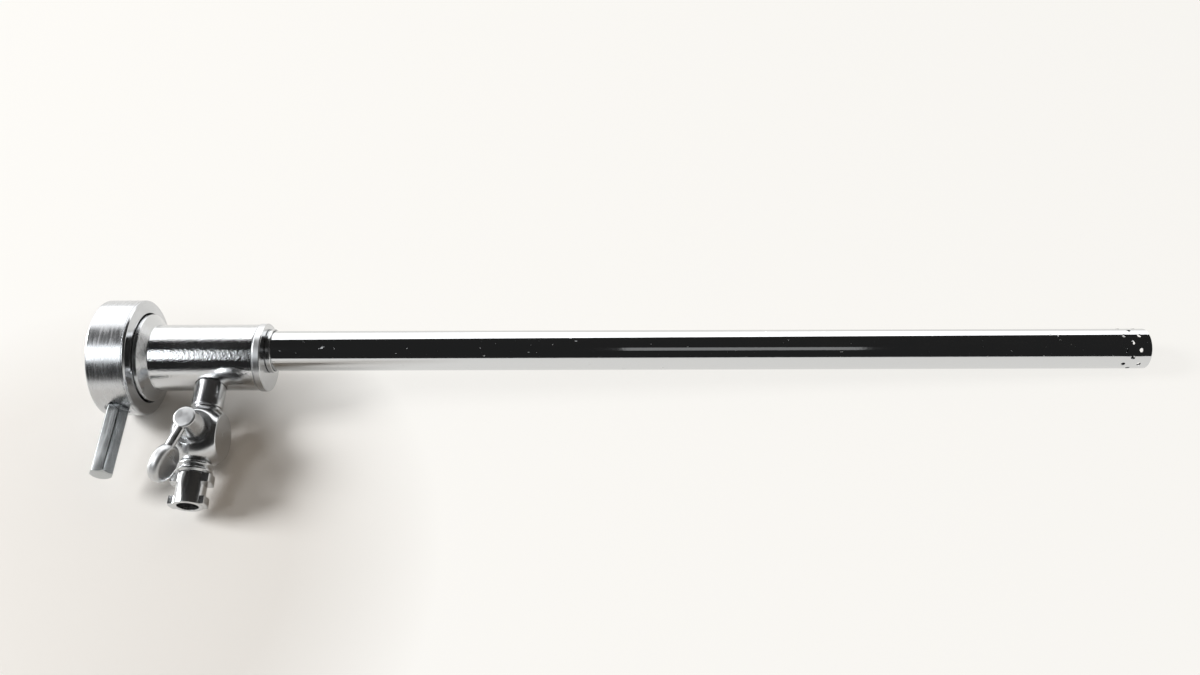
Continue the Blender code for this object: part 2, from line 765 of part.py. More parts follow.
def make_tap_body():
    spigot_start = FERRULE_SOCKET_START + FIT
    inlet_angle = math.asin(NECK_RADIUS / BALL_RADIUS)
    outlet_angle = math.asin(OUTLET_NECK_RADIUS / BALL_RADIUS)
    ball = []
    for step in range(BALL_STEPS + 1):
        angle = outlet_angle + (math.pi - inlet_angle - outlet_angle) * step / BALL_STEPS
        ball.append((BALL_RADIUS * math.sin(angle), TAP_CENTRE + BALL_RADIUS * math.cos(angle)))
    profile = [
        (OUTLET_SPIGOT_RADIUS, OUTLET_END),
        (OUTLET_SPIGOT_RADIUS, BALL_END),
        *ball,
        (NECK_RADIUS, FERRULE_END + FIT),
        (SPIGOT_RADIUS, FERRULE_END + FIT),
        (SPIGOT_RADIUS, spigot_start),
        (PASSAGE_RADIUS, spigot_start),
        (PASSAGE_RADIUS, OUTLET_END),
    ]
    body = turned("tap_body", OUTLET, profile, "polished", SMALL_STEPS)
    far = 2 * BALL_RADIUS
    for name, sign in (("right", 1), ("left", -1)):
        low, high = sorted((sign * SIDE_FLAT, sign * far))
        cut(body, block(f"{name}_flat", OUTLET, (low, -far, TAP_CENTRE - far), (high, far, TAP_CENTRE + far)))
    cut(
        body,
        block("top_flat", PLUG_LINE, (-far, -far, TOP_FLAT), (far, far, far)),
        block("bottom_flat", PLUG_LINE, (-far, -far, -far), (far, far, -BOTTOM_FLAT)),
        rod(
            "plug_seat",
            PLUG_LINE,
            PLUG_BOTTOM_RADIUS + PLUG_FIT,
            -BOTTOM_FLAT,
            TOP_FLAT,
            end_radius=PLUG_TOP_RADIUS + PLUG_FIT,
        ),
    )


def make_plug():
    plug = rod(
        "tap_plug",
        PLUG_LINE,
        PLUG_BOTTOM_RADIUS,
        -BOTTOM_FLAT,
        TOP_FLAT,
        "polished",
        end_radius=PLUG_TOP_RADIUS,
    )
    stud = rod("plug_stud", PLUG_LINE, STUD_NECK_RADIUS, NUT_BOTTOM + FIT, 0, turn=TINY_STEPS)
    half = TANG_WIDTH / 2
    tang_top = TOP_FLAT + TANG_HEIGHT
    tang = block("plug_tang", PLUG_LINE, (-half, -half, 0), (half, half, tang_top))
    cross = frame_along(TAP, HANDLE, PLUG)
    bore = rod("plug_bore", cross, PASSAGE_RADIUS, -BALL_RADIUS, BALL_RADIUS, turn=TINY_STEPS)
    cut(join(plug, stud, tang), bore)

    handle = turned(
        "tap_handle",
        PLUG_LINE,
        [
            (0, HANDLE_HUB_TOP),
            (HANDLE_HUB_RADIUS - HANDLE_HUB_DRAFT, HANDLE_HUB_TOP, HANDLE_HUB_ROUND),
            (HANDLE_HUB_RADIUS, HANDLE_START),
            (0, HANDLE_START),
        ],
        "polished",
        SMALL_STEPS,
    )
    arm_line = frame_along(TAP + PLUG * ARM_LEVEL, HANDLE, PLUG)
    arm = rod("handle_arm", arm_line, ARM_RADIUS, 0, ARM_LENGTH, turn=TINY_STEPS)
    across = HANDLE.cross(PLUG)
    paddle_centre = TAP + HANDLE * PADDLE_REACH + PLUG * PADDLE_LEVEL
    half_paddle = PADDLE_THICKNESS / 2
    paddle = turned(
        "handle_paddle",
        frame_along(paddle_centre, across, HANDLE),
        [
            (0, half_paddle),
            (PADDLE_RADIUS, half_paddle, PADDLE_ROUND),
            (PADDLE_RADIUS, -half_paddle, PADDLE_ROUND),
            (0, -half_paddle),
        ],
        None,
        SMALL_STEPS,
    )
    socket_half = half + FIT
    socket = block(
        "handle_socket",
        PLUG_LINE,
        (-socket_half, -socket_half, HANDLE_START - 1),
        (socket_half, socket_half, tang_top + FIT),
    )
    cut(join(handle, arm, paddle), socket)

    turned(
        "plug_washer",
        PLUG_LINE,
        [
            (WASHER_RADIUS, WASHER_TOP),
            (WASHER_RADIUS, WASHER_BOTTOM),
            (STUD_NECK_RADIUS + FIT, WASHER_BOTTOM),
            (STUD_NECK_RADIUS + FIT, WASHER_TOP),
        ],
        "satin",
        SMALL_STEPS,
    )
    spring_top = WASHER_BOTTOM - FIT - PLUG_SPRING_WIRE
    height = PLUG_SPRING_HEIGHT - 2 * PLUG_SPRING_WIRE
    points = coil(PLUG_SPRING_RADIUS, spring_top, -height, PLUG_SPRING_TURNS, per_turn=16)
    wire("plug_spring", PLUG_LINE, points, PLUG_SPRING_WIRE, "spring")
    nut = turned(
        "plug_nut",
        PLUG_LINE,
        [
            (PLUG_NUT_RADIUS, NUT_TOP),
            (PLUG_NUT_RADIUS, NUT_BOTTOM, PLUG_NUT_ROUND),
            (STUD_NECK_RADIUS + FIT, NUT_BOTTOM),
            (STUD_NECK_RADIUS + FIT, NUT_TOP),
        ],
        "satin",
        SMALL_STEPS,
    )
    half = PLUG_NUT_SLOT / 2
    slot = block(
        "plug_nut_slot",
        PLUG_LINE,
        (-half, -PLUG_NUT_RADIUS - 1, NUT_BOTTOM - 1),
        (half, PLUG_NUT_RADIUS + 1, NUT_BOTTOM + PLUG_NUT_SLOT_DEPTH),
    )
    cut(nut, slot)


def lug_pair(name, span_radius, width, start, length):
    """Two opposite lugs on a barrel: a ring with all but a strip across it milled away."""
    root = (LUER_RADIUS + OUTLET_BORE_RADIUS) / 2
    end = start + length
    disc = turned(
        name,
        OUTLET,
        [(span_radius, end), (span_radius, start), (root, start), (root, end)],
        None,
        SMALL_STEPS,
    )
    strip = block(
        f"{name}_strip",
        OUTLET,
        (-2 * span_radius, -width / 2, start - 1),
        (2 * span_radius, width / 2, start + length + 1),
    )
    return combine(disc, strip, "INTERSECT")


def make_luer():
    half = UNION_LENGTH / 2
    turned(
        "outlet_union",
        OUTLET,
        [
            (OUTLET_BORE_RADIUS, UNION_END),
            (UNION_VALLEY_RADIUS, UNION_END),
            (UNION_RIDGE_RADIUS, UNION_END - half / 2, UNION_ROUND),
            (UNION_VALLEY_RADIUS, UNION_START + half),
            (UNION_RIDGE_RADIUS, UNION_START + half / 2, UNION_ROUND),
            (UNION_VALLEY_RADIUS, UNION_START),
            (OUTLET_BORE_RADIUS, UNION_START),
        ],
        "polished",
        SMALL_STEPS,
    )
    barrel = turned(
        "luer_connector",
        OUTLET,
        [
            (0, LUER_END),
            (LUER_RADIUS, LUER_END, LUER_ROUND),
            (LUER_RADIUS, LUER_START, LUER_ROUND),
            (0, LUER_START),
        ],
        "polished",
        SMALL_STEPS,
    )
    ears = lug_pair("union_ears", LUER_RADIUS + EAR_SPAN, EAR_WIDTH, LUER_START + FIT, EAR_LENGTH)
    lugs = lug_pair("luer_lugs", LUER_RADIUS + LUG_SPAN, LUG_WIDTH, LUER_END - LUG_LENGTH - FIT, LUG_LENGTH)
    cone_start = LUER_SOCKET_END + LUER_WEB
    narrow = LUER_MOUTH_RADIUS - LUER_TAPER * (LUER_END - cone_start)
    wide = LUER_MOUTH_RADIUS + LUER_TAPER
    bore_cut = turned(
        "luer_bore",
        OUTLET,
        [
            (0, LUER_END + 1),
            (wide, LUER_END + 1),
            (narrow, cone_start),
            (PASSAGE_RADIUS, cone_start),
            (PASSAGE_RADIUS, LUER_SOCKET_END),
            (OUTLET_BORE_RADIUS, LUER_SOCKET_END),
            (OUTLET_BORE_RADIUS, LUER_START - 1),
            (0, LUER_START - 1),
        ],
        None,
        SMALL_STEPS,
    )
    join(cut(barrel, bore_cut), ears, lugs)


make_cannula()
make_housing()
make_entry_seal()
make_flap_valve()
make_lock_ring()
make_ferrule()
make_tap_body()
make_plug()
make_luer()
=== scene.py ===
# %% [markdown]
# A steel trocar cannula is one long vented tube on a small valve housing. A wide ring at the rear
# locks an instrument in, and a stopcock on the side lets gas or water in. Nearly every piece of it
# is turned on a lathe, so this lesson builds its pieces by turning profiles, and spends the rest of
# its effort on polished and satin steel.

# %% Load the solid model
import math

import bmesh
import bpy
from mathutils import Matrix, Vector


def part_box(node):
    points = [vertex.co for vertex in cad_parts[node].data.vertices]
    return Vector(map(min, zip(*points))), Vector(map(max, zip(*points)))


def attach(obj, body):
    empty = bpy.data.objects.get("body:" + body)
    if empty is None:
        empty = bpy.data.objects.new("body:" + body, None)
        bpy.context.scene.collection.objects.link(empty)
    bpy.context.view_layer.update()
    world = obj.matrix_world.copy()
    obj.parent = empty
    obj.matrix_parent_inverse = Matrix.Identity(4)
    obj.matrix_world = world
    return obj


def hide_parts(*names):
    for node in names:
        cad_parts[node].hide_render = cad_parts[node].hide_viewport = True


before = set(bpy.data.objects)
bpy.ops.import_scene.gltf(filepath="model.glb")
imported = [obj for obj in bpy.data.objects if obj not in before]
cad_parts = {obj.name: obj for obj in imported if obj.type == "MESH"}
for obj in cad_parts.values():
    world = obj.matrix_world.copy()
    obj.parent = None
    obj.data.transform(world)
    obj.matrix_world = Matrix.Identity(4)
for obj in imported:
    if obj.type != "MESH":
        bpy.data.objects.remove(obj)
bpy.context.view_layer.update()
MM = 0.001

# %% [markdown]
# The solid model already fixes where everything is. The sizes below repeat its own values, so that
# a finished piece lands where the solid one is. They are in millimetres. The cannula runs along X,
# and its stations count from the ring's rear face. The stopcock leaves along FLOW, twelve degrees
# below the level, and its stations count outwards from the cannula. The plug turns about PLUG,
# square to both. Neighbouring pieces leave a small gap between them.

# %% Directions and stations
GAP = 0.1
RING_RADIUS = 12.35
LEVER_STATION = 4.2
HUB_START = 3.0
FLANGE_START = 6.3
SOCKET_END = 7.2
CHAMBER_START = 8.4
BODY_END = 32.3
CAP_FACE = 34.0
CAP_WALL = 1.2
TIP = 222.2
TUBE_RADIUS = 4.3
TUBE_BORE = 3.95
PASSAGE_RADIUS = 4.6
BORE_OFFSET = 1.6
TAP_STATION = 22.6
FERRULE_END = 12.2
BALL_RADIUS = 6.6
INLET_NECK = 3.1
INLET_NECK_LENGTH = 0.57
OUTLET_NECK = 3.0
TAP_CENTRE = FERRULE_END + INLET_NECK_LENGTH + math.sqrt(BALL_RADIUS**2 - INLET_NECK**2)
BALL_END = TAP_CENTRE + math.sqrt(BALL_RADIUS**2 - OUTLET_NECK**2)
UNION_START = BALL_END + GAP
LUER_START = UNION_START + 2.5
LUER_END = LUER_START + 6.6
HANDLE_START = 5.4
HANDLE_TURN = math.radians(20)

ALONG = Vector((1, 0, 0))
UP = Vector((0, 0, 1))


def below_level(degrees):
    """A direction square to the cannula, towards the front, that dips by so many degrees."""
    angle = math.radians(degrees)
    return Vector((0, -math.cos(angle), -math.sin(angle)))


FLOW = below_level(12)
LEVER = below_level(10)
PLUG = -ALONG.cross(FLOW)
HANDLE = FLOW * math.cos(HANDLE_TURN) - ALONG * math.sin(HANDLE_TURN)
low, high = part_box("lock_ring")
REAR = Vector((low.x, (low.y + high.y) / 2, (low.z + high.z) / 2)) / MM
BORE = REAR - FLOW * BORE_OFFSET
TAP = REAR + ALONG * TAP_STATION + FLOW * TAP_CENTRE
print("ring centre in mm:", [round(c, 2) for c in REAR])

# %% [markdown]
# A lathe line is a place and a direction in space. Every turned piece is drawn as a profile of
# radius against height on such a line.

# %% Lathe lines


def line_along(origin, direction, side):
    """A placement with local Z along the direction and local X leaning towards side."""
    z = direction.normalized()
    x = (side - side.dot(z) * z).normalized()
    placed = Matrix((x, z.cross(x), z)).transposed().to_4x4()
    placed.translation = origin
    return placed


CANNULA = line_along(REAR, ALONG, UP)
BORE_LINE = line_along(BORE, ALONG, UP)
OUTLET = line_along(REAR + ALONG * TAP_STATION, FLOW, ALONG)
PLUG_LINE = line_along(TAP, PLUG, HANDLE)
LEVER_LINE = line_along(REAR + ALONG * LEVER_STATION, LEVER, ALONG)
print("stopcock centre in mm:", [round(c, 2) for c in TAP])

# %% [markdown]
# Materials, the vent holes and the room are all node trees, so a few helpers come first. Each adds
# one node and returns its output. A value for it is a plain one, or another node's output.

# %% Node helpers


def feed(tree, socket, value):
    """Sets a socket to a plain value, or links another node's output to it."""
    if isinstance(value, bpy.types.NodeSocket):
        tree.links.new(value, socket)
    else:
        socket.default_value = value


def maths(tree, operation, first, second=None):
    """The second value is left out where the operation takes one alone."""
    node = tree.nodes.new("ShaderNodeMath")
    node.operation = operation
    feed(tree, node.inputs[0], first)
    if second is not None:
        feed(tree, node.inputs[1], second)
    return node.outputs["Value"]


def vector_maths(tree, operation, first, second):
    """The second value is a vector, or a number where the operation is a scale."""
    node = tree.nodes.new("ShaderNodeVectorMath")
    node.operation = operation
    feed(tree, node.inputs[0], first)
    feed(tree, node.inputs["Scale" if operation == "SCALE" else 1], second)
    return node.outputs["Value" if operation in ("DISTANCE", "DOT_PRODUCT") else "Vector"]


def remap(tree, value, low, high, start=0.3, end=0.7):
    """Goes from low to high while the value goes from start to end."""
    span = tree.nodes.new("ShaderNodeMapRange")
    span.inputs["From Min"].default_value = start
    span.inputs["From Max"].default_value = end
    span.inputs["To Min"].default_value = low
    span.inputs["To Max"].default_value = high
    tree.links.new(value, span.inputs["Value"])
    return span.outputs["Result"]


def mixed_colour(tree, share, first, second):
    """The first colour where share is nought, the second where it is one."""
    node = tree.nodes.new("ShaderNodeMix")
    node.data_type = "RGBA"
    feed(tree, node.inputs["Factor"], share)
    feed(tree, node.inputs["A"], first)
    feed(tree, node.inputs["B"], second)
    return node.outputs["Result"]


# %% [markdown]
# Steel has no colour of its own to speak of: what the eye reads is how sharp its reflections are.
# Polished steel is nearly a mirror with a faint grain and a few scuffs. Turned steel keeps fine
# rings from the lathe tool, and spreads a highlight across them. Both come from one recipe: a bump
# made of noise that is drawn out along one direction, plus a slow cloud of roughness from handling.

# %% Material helpers
STEP_WIDTH = 0.04


def new_material(name, colour, roughness, metallic):
    material = bpy.data.materials.new(name)
    material.use_nodes = True
    shader = material.node_tree.nodes["Principled BSDF"]
    shader.inputs["Base Color"].default_value = (*colour, 1)
    shader.inputs["Roughness"].default_value = roughness
    shader.inputs["Metallic"].default_value = metallic
    return material, material.node_tree, shader


def object_point(tree, line):
    """Object coordinates in millimetres, as seen from a lathe line: its axis is local Z."""
    coordinates = tree.nodes.new("ShaderNodeTexCoord")
    shift = tree.nodes.new("ShaderNodeMapping")
    shift.vector_type = "POINT"
    shift.inputs["Location"].default_value = -line.translation
    shift.inputs["Scale"].default_value = (1 / MM, 1 / MM, 1 / MM)
    turn = tree.nodes.new("ShaderNodeMapping")
    turn.inputs["Rotation"].default_value = line.to_quaternion().inverted().to_euler("XYZ")
    tree.links.new(coordinates.outputs["Object"], shift.inputs["Vector"])
    tree.links.new(shift.outputs["Vector"], turn.inputs["Vector"])
    return turn.outputs["Vector"]


def noise(tree, point, scale, stretch, detail):
    """Noise whose grain is drawn out by stretch, a factor for each local axis."""
    mapping = tree.nodes.new("ShaderNodeMapping")
    mapping.inputs["Scale"].default_value = stretch
    texture = tree.nodes.new("ShaderNodeTexNoise")
    texture.inputs["Scale"].default_value = scale
    texture.inputs["Detail"].default_value = detail
    tree.links.new(point, mapping.inputs["Vector"])
    tree.links.new(mapping.outputs["Vector"], texture.inputs["Vector"])
    return texture.outputs["Fac"]


def bump(tree, shader, height, strength, distance):
    """Relief from a height, where distance is its depth in millimetres."""
    node = tree.nodes.new("ShaderNodeBump")
    node.inputs["Strength"].default_value = strength
    node.inputs["Distance"].default_value = distance * MM
    tree.links.new(height, node.inputs["Height"])
    tree.links.new(node.outputs["Normal"], shader.inputs["Normal"])


def stepped(tree, point, station, below, above):
    """One value below a station on the line and another above it."""
    parts = tree.nodes.new("ShaderNodeSeparateXYZ")
    tree.links.new(point, parts.inputs["Vector"])
    start = station - STEP_WIDTH / 2
    end = station + STEP_WIDTH / 2
    return remap(tree, parts.outputs["Z"], below, above, start, end)


# %% [markdown]
# A piece can be finer on one face than on the next, such as a drum with a ground front. A step
# gives that: a station on the lathe line, and the factors on the roughness below and above it.

# %% Steel and rubber
ROUND_LINE = (0.07, 0.07, 1)
ALONG_BAR = (1, 1, 0.06)
EVEN = (1, 1, 1)
MIRROR = (0.66, 0.67, 0.68)
DULL = (0.58, 0.59, 0.60)


def polished(name, line, colour, roughness, grain, fine=2.4, scuffs=0.0, step=None):
    """Mirror steel: smudges and scuffs in its shine, and a grain that ripples its reflections."""
    material, tree, shader = new_material(name, colour, roughness, 1.0)
    point = object_point(tree, line)
    smudge = noise(tree, point, scale=0.35, stretch=(1, 1, 0.4), detail=3)
    shine = remap(tree, smudge, roughness * 0.75, roughness * 1.4)
    if scuffs:
        spots = noise(tree, point, scale=1.5, stretch=(1, 1, 0.6), detail=3)
        shine = maths(tree, "ADD", shine, remap(tree, spots, 0.0, scuffs, start=0.71, end=0.74))
    if step:
        shine = maths(tree, "MULTIPLY", shine, stepped(tree, point, *step))
    tree.links.new(shine, shader.inputs["Roughness"])
    ripple = noise(tree, point, scale=fine, stretch=(1, 1, 0.6), detail=3)
    bump(tree, shader, ripple, 1.0, grain)
    return material


def satin(name, line, colour, roughness, grain, stretch=ROUND_LINE, step=None):
    """Turned or ground steel: short grooves, drawn out by stretch, in its shine and its relief."""
    material, tree, shader = new_material(name, colour, roughness, 1.0)
    point = object_point(tree, line)
    grooves = noise(tree, point, scale=3.0, stretch=stretch, detail=4)
    worn = noise(tree, point, scale=0.4, stretch=EVEN, detail=3)
    most = maths(tree, "MULTIPLY", grooves, 0.6)
    rest = maths(tree, "MULTIPLY", worn, 0.4)
    uneven = maths(tree, "ADD", most, rest)
    shine = remap(tree, uneven, roughness * 0.85, roughness * 1.2, start=0.38, end=0.62)
    if step:
        shine = maths(tree, "MULTIPLY", shine, stepped(tree, point, *step))
    tree.links.new(shine, shader.inputs["Roughness"])
    darker = (*[c * 0.96 for c in colour], 1)
    lighter = (*[min(1.0, c * 1.03) for c in colour], 1)
    tint = mixed_colour(tree, remap(tree, grooves, 0.0, 1.0, start=0.35, end=0.65), darker, lighter)
    tree.links.new(tint, shader.inputs["Base Color"])
    bump(tree, shader, grooves, 1.0, grain)
    return material


def rubber(name, line):
    material, tree, shader = new_material(name, (0.030, 0.030, 0.034), 0.62, 0.0)
    point = object_point(tree, line)
    grain = noise(tree, point, scale=6.0, stretch=EVEN, detail=4)
    bump(tree, shader, grain, 0.25, 0.02)
    tree.links.new(remap(tree, grain, 0.52, 0.72), shader.inputs["Roughness"])
    return material


TUBE_STEEL = polished("tube_steel", BORE_LINE, MIRROR, 0.05, 0.002, scuffs=0.4)
BODY_STEEL = polished("body_steel", CANNULA, MIRROR, 0.12, 0.033, fine=3.0, step=(10.7, 1.7, 1.0))
CAP_STEEL = satin("cap_steel", CANNULA, (0.64, 0.65, 0.66), 0.22, 0.0008, step=(33.8, 1.5, 0.8))
RING_STEEL = satin("ring_steel", CANNULA, (0.60, 0.61, 0.625), 0.25, 0.0012, step=(7.9, 1.0, 0.6))
LEVER_STEEL = satin("lever_steel", LEVER_LINE, (0.49, 0.51, 0.52), 0.22, 0.0, ALONG_BAR)
TAP_STEEL = polished("tap_steel", OUTLET, (0.62, 0.63, 0.64), 0.21, 0.006)
PLUG_STEEL = polished("plug_steel", PLUG_LINE, DULL, 0.26, 0.006, step=(10.0, 1.0, 1.6))
NUT_STEEL = satin("nut_steel", PLUG_LINE, DULL, 0.24, 0.0008)
SPRING_STEEL = satin("spring_steel", CANNULA, (0.45, 0.46, 0.48), 0.28, 0.0008, EVEN)
SEAL_RUBBER = rubber("seal_rubber", CANNULA)
print("materials:", len(bpy.data.materials))

# %% [markdown]
# A turned piece is a profile spun round its line. Each corner of a profile is a radius and a
# height, as on a workshop drawing. Real edges are never quite sharp, so a corner may carry a third
# number, the radius that rounds it. Each arc gets a support ring just beyond both of its ends.
# Without them the shading of the wide faces would bend towards the small round ones.

# %% Turning a profile
ARC_STEPS = 5
SUPPORT = 0.03
ON_AXIS = 1e-6
SHARP_ANGLE = math.radians(35)


def profile_points(corners):
    """Corners (radius, height), each with an optional third value that rounds it."""
    points = []
    for index, corner in enumerate(corners):
        here = Vector(corner[:2])
        if len(corner) == 2:
            points.append(here)
            continue
        before = (Vector(corners[index - 1][:2]) - here).normalized()
        after = (Vector(corners[(index + 1) % len(corners)][:2]) - here).normalized()
        half = before.angle(after) / 2
        reach = corner[2] / math.tan(half)
        centre = here + (before + after).normalized() * corner[2] / math.sin(half)
        start = (here + before * reach - centre).normalized()
        end = (here + after * reach - centre).normalized()
        points.append(here + before * (reach + SUPPORT))
        for step in range(ARC_STEPS + 1):
            points.append(centre + start.slerp(end, step / ARC_STEPS) * corner[2])
        points.append(here + after * (reach + SUPPORT))
    return points


def turn_mesh(name, line, corners, segments=128):
    """A mesh spun about local Z. The profile closes on itself unless it meets the axis."""
    points = profile_points(corners)
    shape = bmesh.new()
    loops = []
    for point in points:
        place = Vector((0, 0, point.y))
        if point.x < ON_AXIS:
            loops.append([shape.verts.new(line @ place * MM)] * segments)
            continue
        loop = []
        for step in range(segments):
            angle = 2 * math.pi * step / segments
            spot = Vector((point.x * math.cos(angle), point.x * math.sin(angle), point.y))
            loop.append(shape.verts.new(line @ spot * MM))
        loops.append(loop)
    count = len(loops) if points[0].x > ON_AXIS else len(loops) - 1
    for index in range(count):
        here, there = loops[index], loops[(index + 1) % len(loops)]
        for step in range(segments):
            after = (step + 1) % segments
            corners_of_face = [here[step], here[after], there[after], there[step]]
            different = list(dict.fromkeys(corners_of_face))
            if len(different) > 2:
                shape.faces.new(different)
    bmesh.ops.recalc_face_normals(shape, faces=shape.faces)
    mesh = bpy.data.meshes.new(name)
    shape.to_mesh(mesh)
    shape.free()
    return mesh


def show(name, mesh, material):
    """Links a mesh as an object at the origin, smooths it and gives it its finish."""
    obj = bpy.data.objects.new(name, mesh)
    bpy.context.scene.collection.objects.link(obj)
    mesh.materials.clear()
    mesh.materials.append(material)
    mesh.shade_smooth()
    mesh.set_sharp_from_angle(angle=SHARP_ANGLE)
    return obj


def seat(obj, body, slot, *nodes):
    """The finished piece rides on a body and stands for solid nodes."""
    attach(obj, body)
    if nodes:
        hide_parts(*nodes)
    print(obj.name, "rides on", body, "with", len(obj.data.polygons), "faces")
    return obj


def turned(name, line, corners, material, body, slot, *nodes, segments=128):
    """A piece that needs no milling: its profile is turned, shown and seated."""
    obj = show(name, turn_mesh(name, line, corners, segments), material)
    return seat(obj, body, slot, *nodes)


# %% [markdown]
# Some shapes are milled after turning: slots, flats and cross holes. Those are Booleans between a
# turned mesh and a cutter, made a plain mesh again at once.

# %% Milling


def block_mesh(name, line, low, high):
    """A block between two corners, which are given in the line's own axes."""
    low, high = Vector(low), Vector(high)
    shape = bmesh.new()
    size = Matrix.Diagonal((*(high - low), 1))
    middle = Matrix.Translation((low + high) / 2)
    scale = Matrix.Diagonal((MM, MM, MM, 1))
    bmesh.ops.create_cube(shape, size=1, matrix=scale @ line @ middle @ size)
    mesh = bpy.data.meshes.new(name)
    shape.to_mesh(mesh)
    shape.free()
    return mesh


def bar(name, line, radius, start, end, segments=64):
    """A plain round bar on the line."""
    return turn_mesh(name, line, [(0, end), (radius, end), (radius, start), (0, start)], segments)


def milled(name, base, *steps):
    """Applies (operation, mesh) steps to a base mesh and returns the result."""
    obj = bpy.data.objects.new(name, base)
    bpy.context.scene.collection.objects.link(obj)
    helpers = []
    for operation, mesh in steps:
        tool = bpy.data.objects.new(mesh.name, mesh)
        bpy.context.scene.collection.objects.link(tool)
        helpers.append(tool)
        change = obj.modifiers.new(mesh.name, "BOOLEAN")
        change.operation = operation
        change.object = tool
        change.solver = "EXACT"
    graph = bpy.context.evaluated_depsgraph_get()
    result = bpy.data.meshes.new_from_object(obj.evaluated_get(graph))
    result.name = name
    for helper in [obj, *helpers]:
        bpy.data.objects.remove(helper)
    return result


# %% [markdown]
# The lock ring is the widest piece: a short drum with a shallow cone towards the front. In its rear
# mouth lies a plate with two notches, which the mating instrument's pins drop through before the
# ring is turned.

# %% Lock ring
NOSE_END = 8.45
LEVER_ACROSS = 4.2
SPOT_DEPTH = 0.45
corner_radius = LEVER_ACROSS / math.sqrt(3)
spot_floor = RING_RADIUS - SPOT_DEPTH
ring_body = turn_mesh(
    "lock_ring_skin",
    CANNULA,
    [
        (9.65, NOSE_END, 0.1),
        (12.0, NOSE_END - 0.4, 0.25),
        (RING_RADIUS, 7.75, 0.1),
        (RING_RADIUS, 7.55),
        (12.2, 7.47),
        (RING_RADIUS, 7.39),
        (RING_RADIUS, 0, 0.4),
        (10.6, 0, 0.15),
        (10.6, 4.9),
        (8.3, 4.9, 0.1),
        (8.3, 6.0, 0.1),
        (9.65, 6.0),
    ],
    192,
)
spot = bar("spot_face", LEVER_LINE, corner_radius + 0.2, spot_floor, 14)
ring_mesh = milled("lock_ring_skin", ring_body, ("DIFFERENCE", spot))
seat(show("lock_ring_skin", ring_mesh, RING_STEEL), "lock", "satin_steel", "lock_ring")

plate_body = turn_mesh(
    "bayonet_plate_skin",
    CANNULA,
    [(10.5, 1.2, 0.1), (10.5, 0.2, 0.12), (8.0, 0.2, 0.12), (8.0, 1.2, 0.1)],
)
notch = block_mesh("notch", CANNULA, (-1.5, -9.7, -1), (1.5, 9.7, 2.5))
plate_mesh = milled("bayonet_plate_skin", plate_body, ("DIFFERENCE", notch))
seat(show("bayonet_plate_skin", plate_mesh, CAP_STEEL), "lock", "satin_steel", "bayonet_plate")

# %% [markdown]
# The lever is a length of hexagonal bar. Its outer end is chamfered on a lathe, which leaves the
# small arcs that every bolt head shows. The same arcs appear here when a hexagonal prism is
# intersected with a turned shape.

# %% Lever
LEVER_LENGTH = 15.0
LEVER_CHAMFER = 0.45
EDGE_ROUND = 0.16


def hexagon_mesh(name, line, radius, start, end):
    """A hexagonal bar whose long edges are a little rounded."""
    shape = bmesh.new()
    turn = Matrix.Rotation(math.pi / 6, 4, "Z")
    middle = Matrix.Translation((0, 0, (start + end) / 2))
    bmesh.ops.create_cone(
        shape,
        cap_ends=True,
        segments=6,
        radius1=radius,
        radius2=radius,
        depth=end - start,
        matrix=line @ turn @ middle,
    )
    bmesh.ops.scale(shape, vec=(MM, MM, MM), verts=shape.verts)
    long_edges = [edge for edge in shape.edges if edge.calc_length() > (end - start) / 2 * MM]
    bmesh.ops.bevel(
        shape,
        geom=long_edges,
        offset=EDGE_ROUND * MM,
        segments=3,
        profile=0.5,
        affect="EDGES",
    )
    mesh = bpy.data.meshes.new(name)
    shape.to_mesh(mesh)
    shape.free()
    return mesh


lever_end = RING_RADIUS + LEVER_LENGTH
lever_foot = spot_floor + GAP
chamfer = turn_mesh(
    "lever_chamfer",
    LEVER_LINE,
    [
        (0, lever_end),
        (1.85, lever_end, 0.1),
        (2.6, lever_end - LEVER_CHAMFER),
        (2.6, lever_foot),
        (0, lever_foot),
    ],
    96,
)
lever_mesh = milled(
    "lock_lever_skin",
    hexagon_mesh("hexagon", LEVER_LINE, corner_radius, spot_floor, lever_end + 1),
    ("INTERSECT", chamfer),
)
seat(show("lock_lever_skin", lever_mesh, LEVER_STEEL), "lock", "satin_steel", "lock_lever")

# %% [markdown]
# The housing is one turned piece as well: a hub for the ring, a flange with an O-ring groove, and
# the thin drum that holds the flap valve. Its inner walls show through the rear mouth.

# %% Housing
housing_body = turn_mesh(
    "valve_housing_skin",
    CANNULA,
    [
        (0, CHAMBER_START),
        (6.45, CHAMBER_START),
        (6.45, BODY_END),
        (7.1, BODY_END, 0.2),
        (7.1, 10.55, 0.1),
        (9.35, 9.2, 0.12),
        (9.35, 8.0, 0.06),
        (8.75, 8.0),
        (8.75, 6.8),
        (9.35, 6.8, 0.06),
        (9.35, FLANGE_START, 0.1),
        (8.0, FLANGE_START),
        (8.0, HUB_START, 0.12),
        (6.75, HUB_START, 0.12),
        (6.75, SOCKET_END),
        (0, SOCKET_END),
    ],
    192,
)
web_hole = bar("web_hole", BORE_LINE, PASSAGE_RADIUS, 6, 10, 96)
port = bar("side_port", OUTLET, 3.3, 3, 8)
holes = [("DIFFERENCE", web_hole), ("DIFFERENCE", port)]
housing_mesh = milled("valve_housing_skin", housing_body, *holes)
housing = show("valve_housing_skin", housing_mesh, BODY_STEEL)
seat(housing, "housing", "polished_steel", "valve_housing")

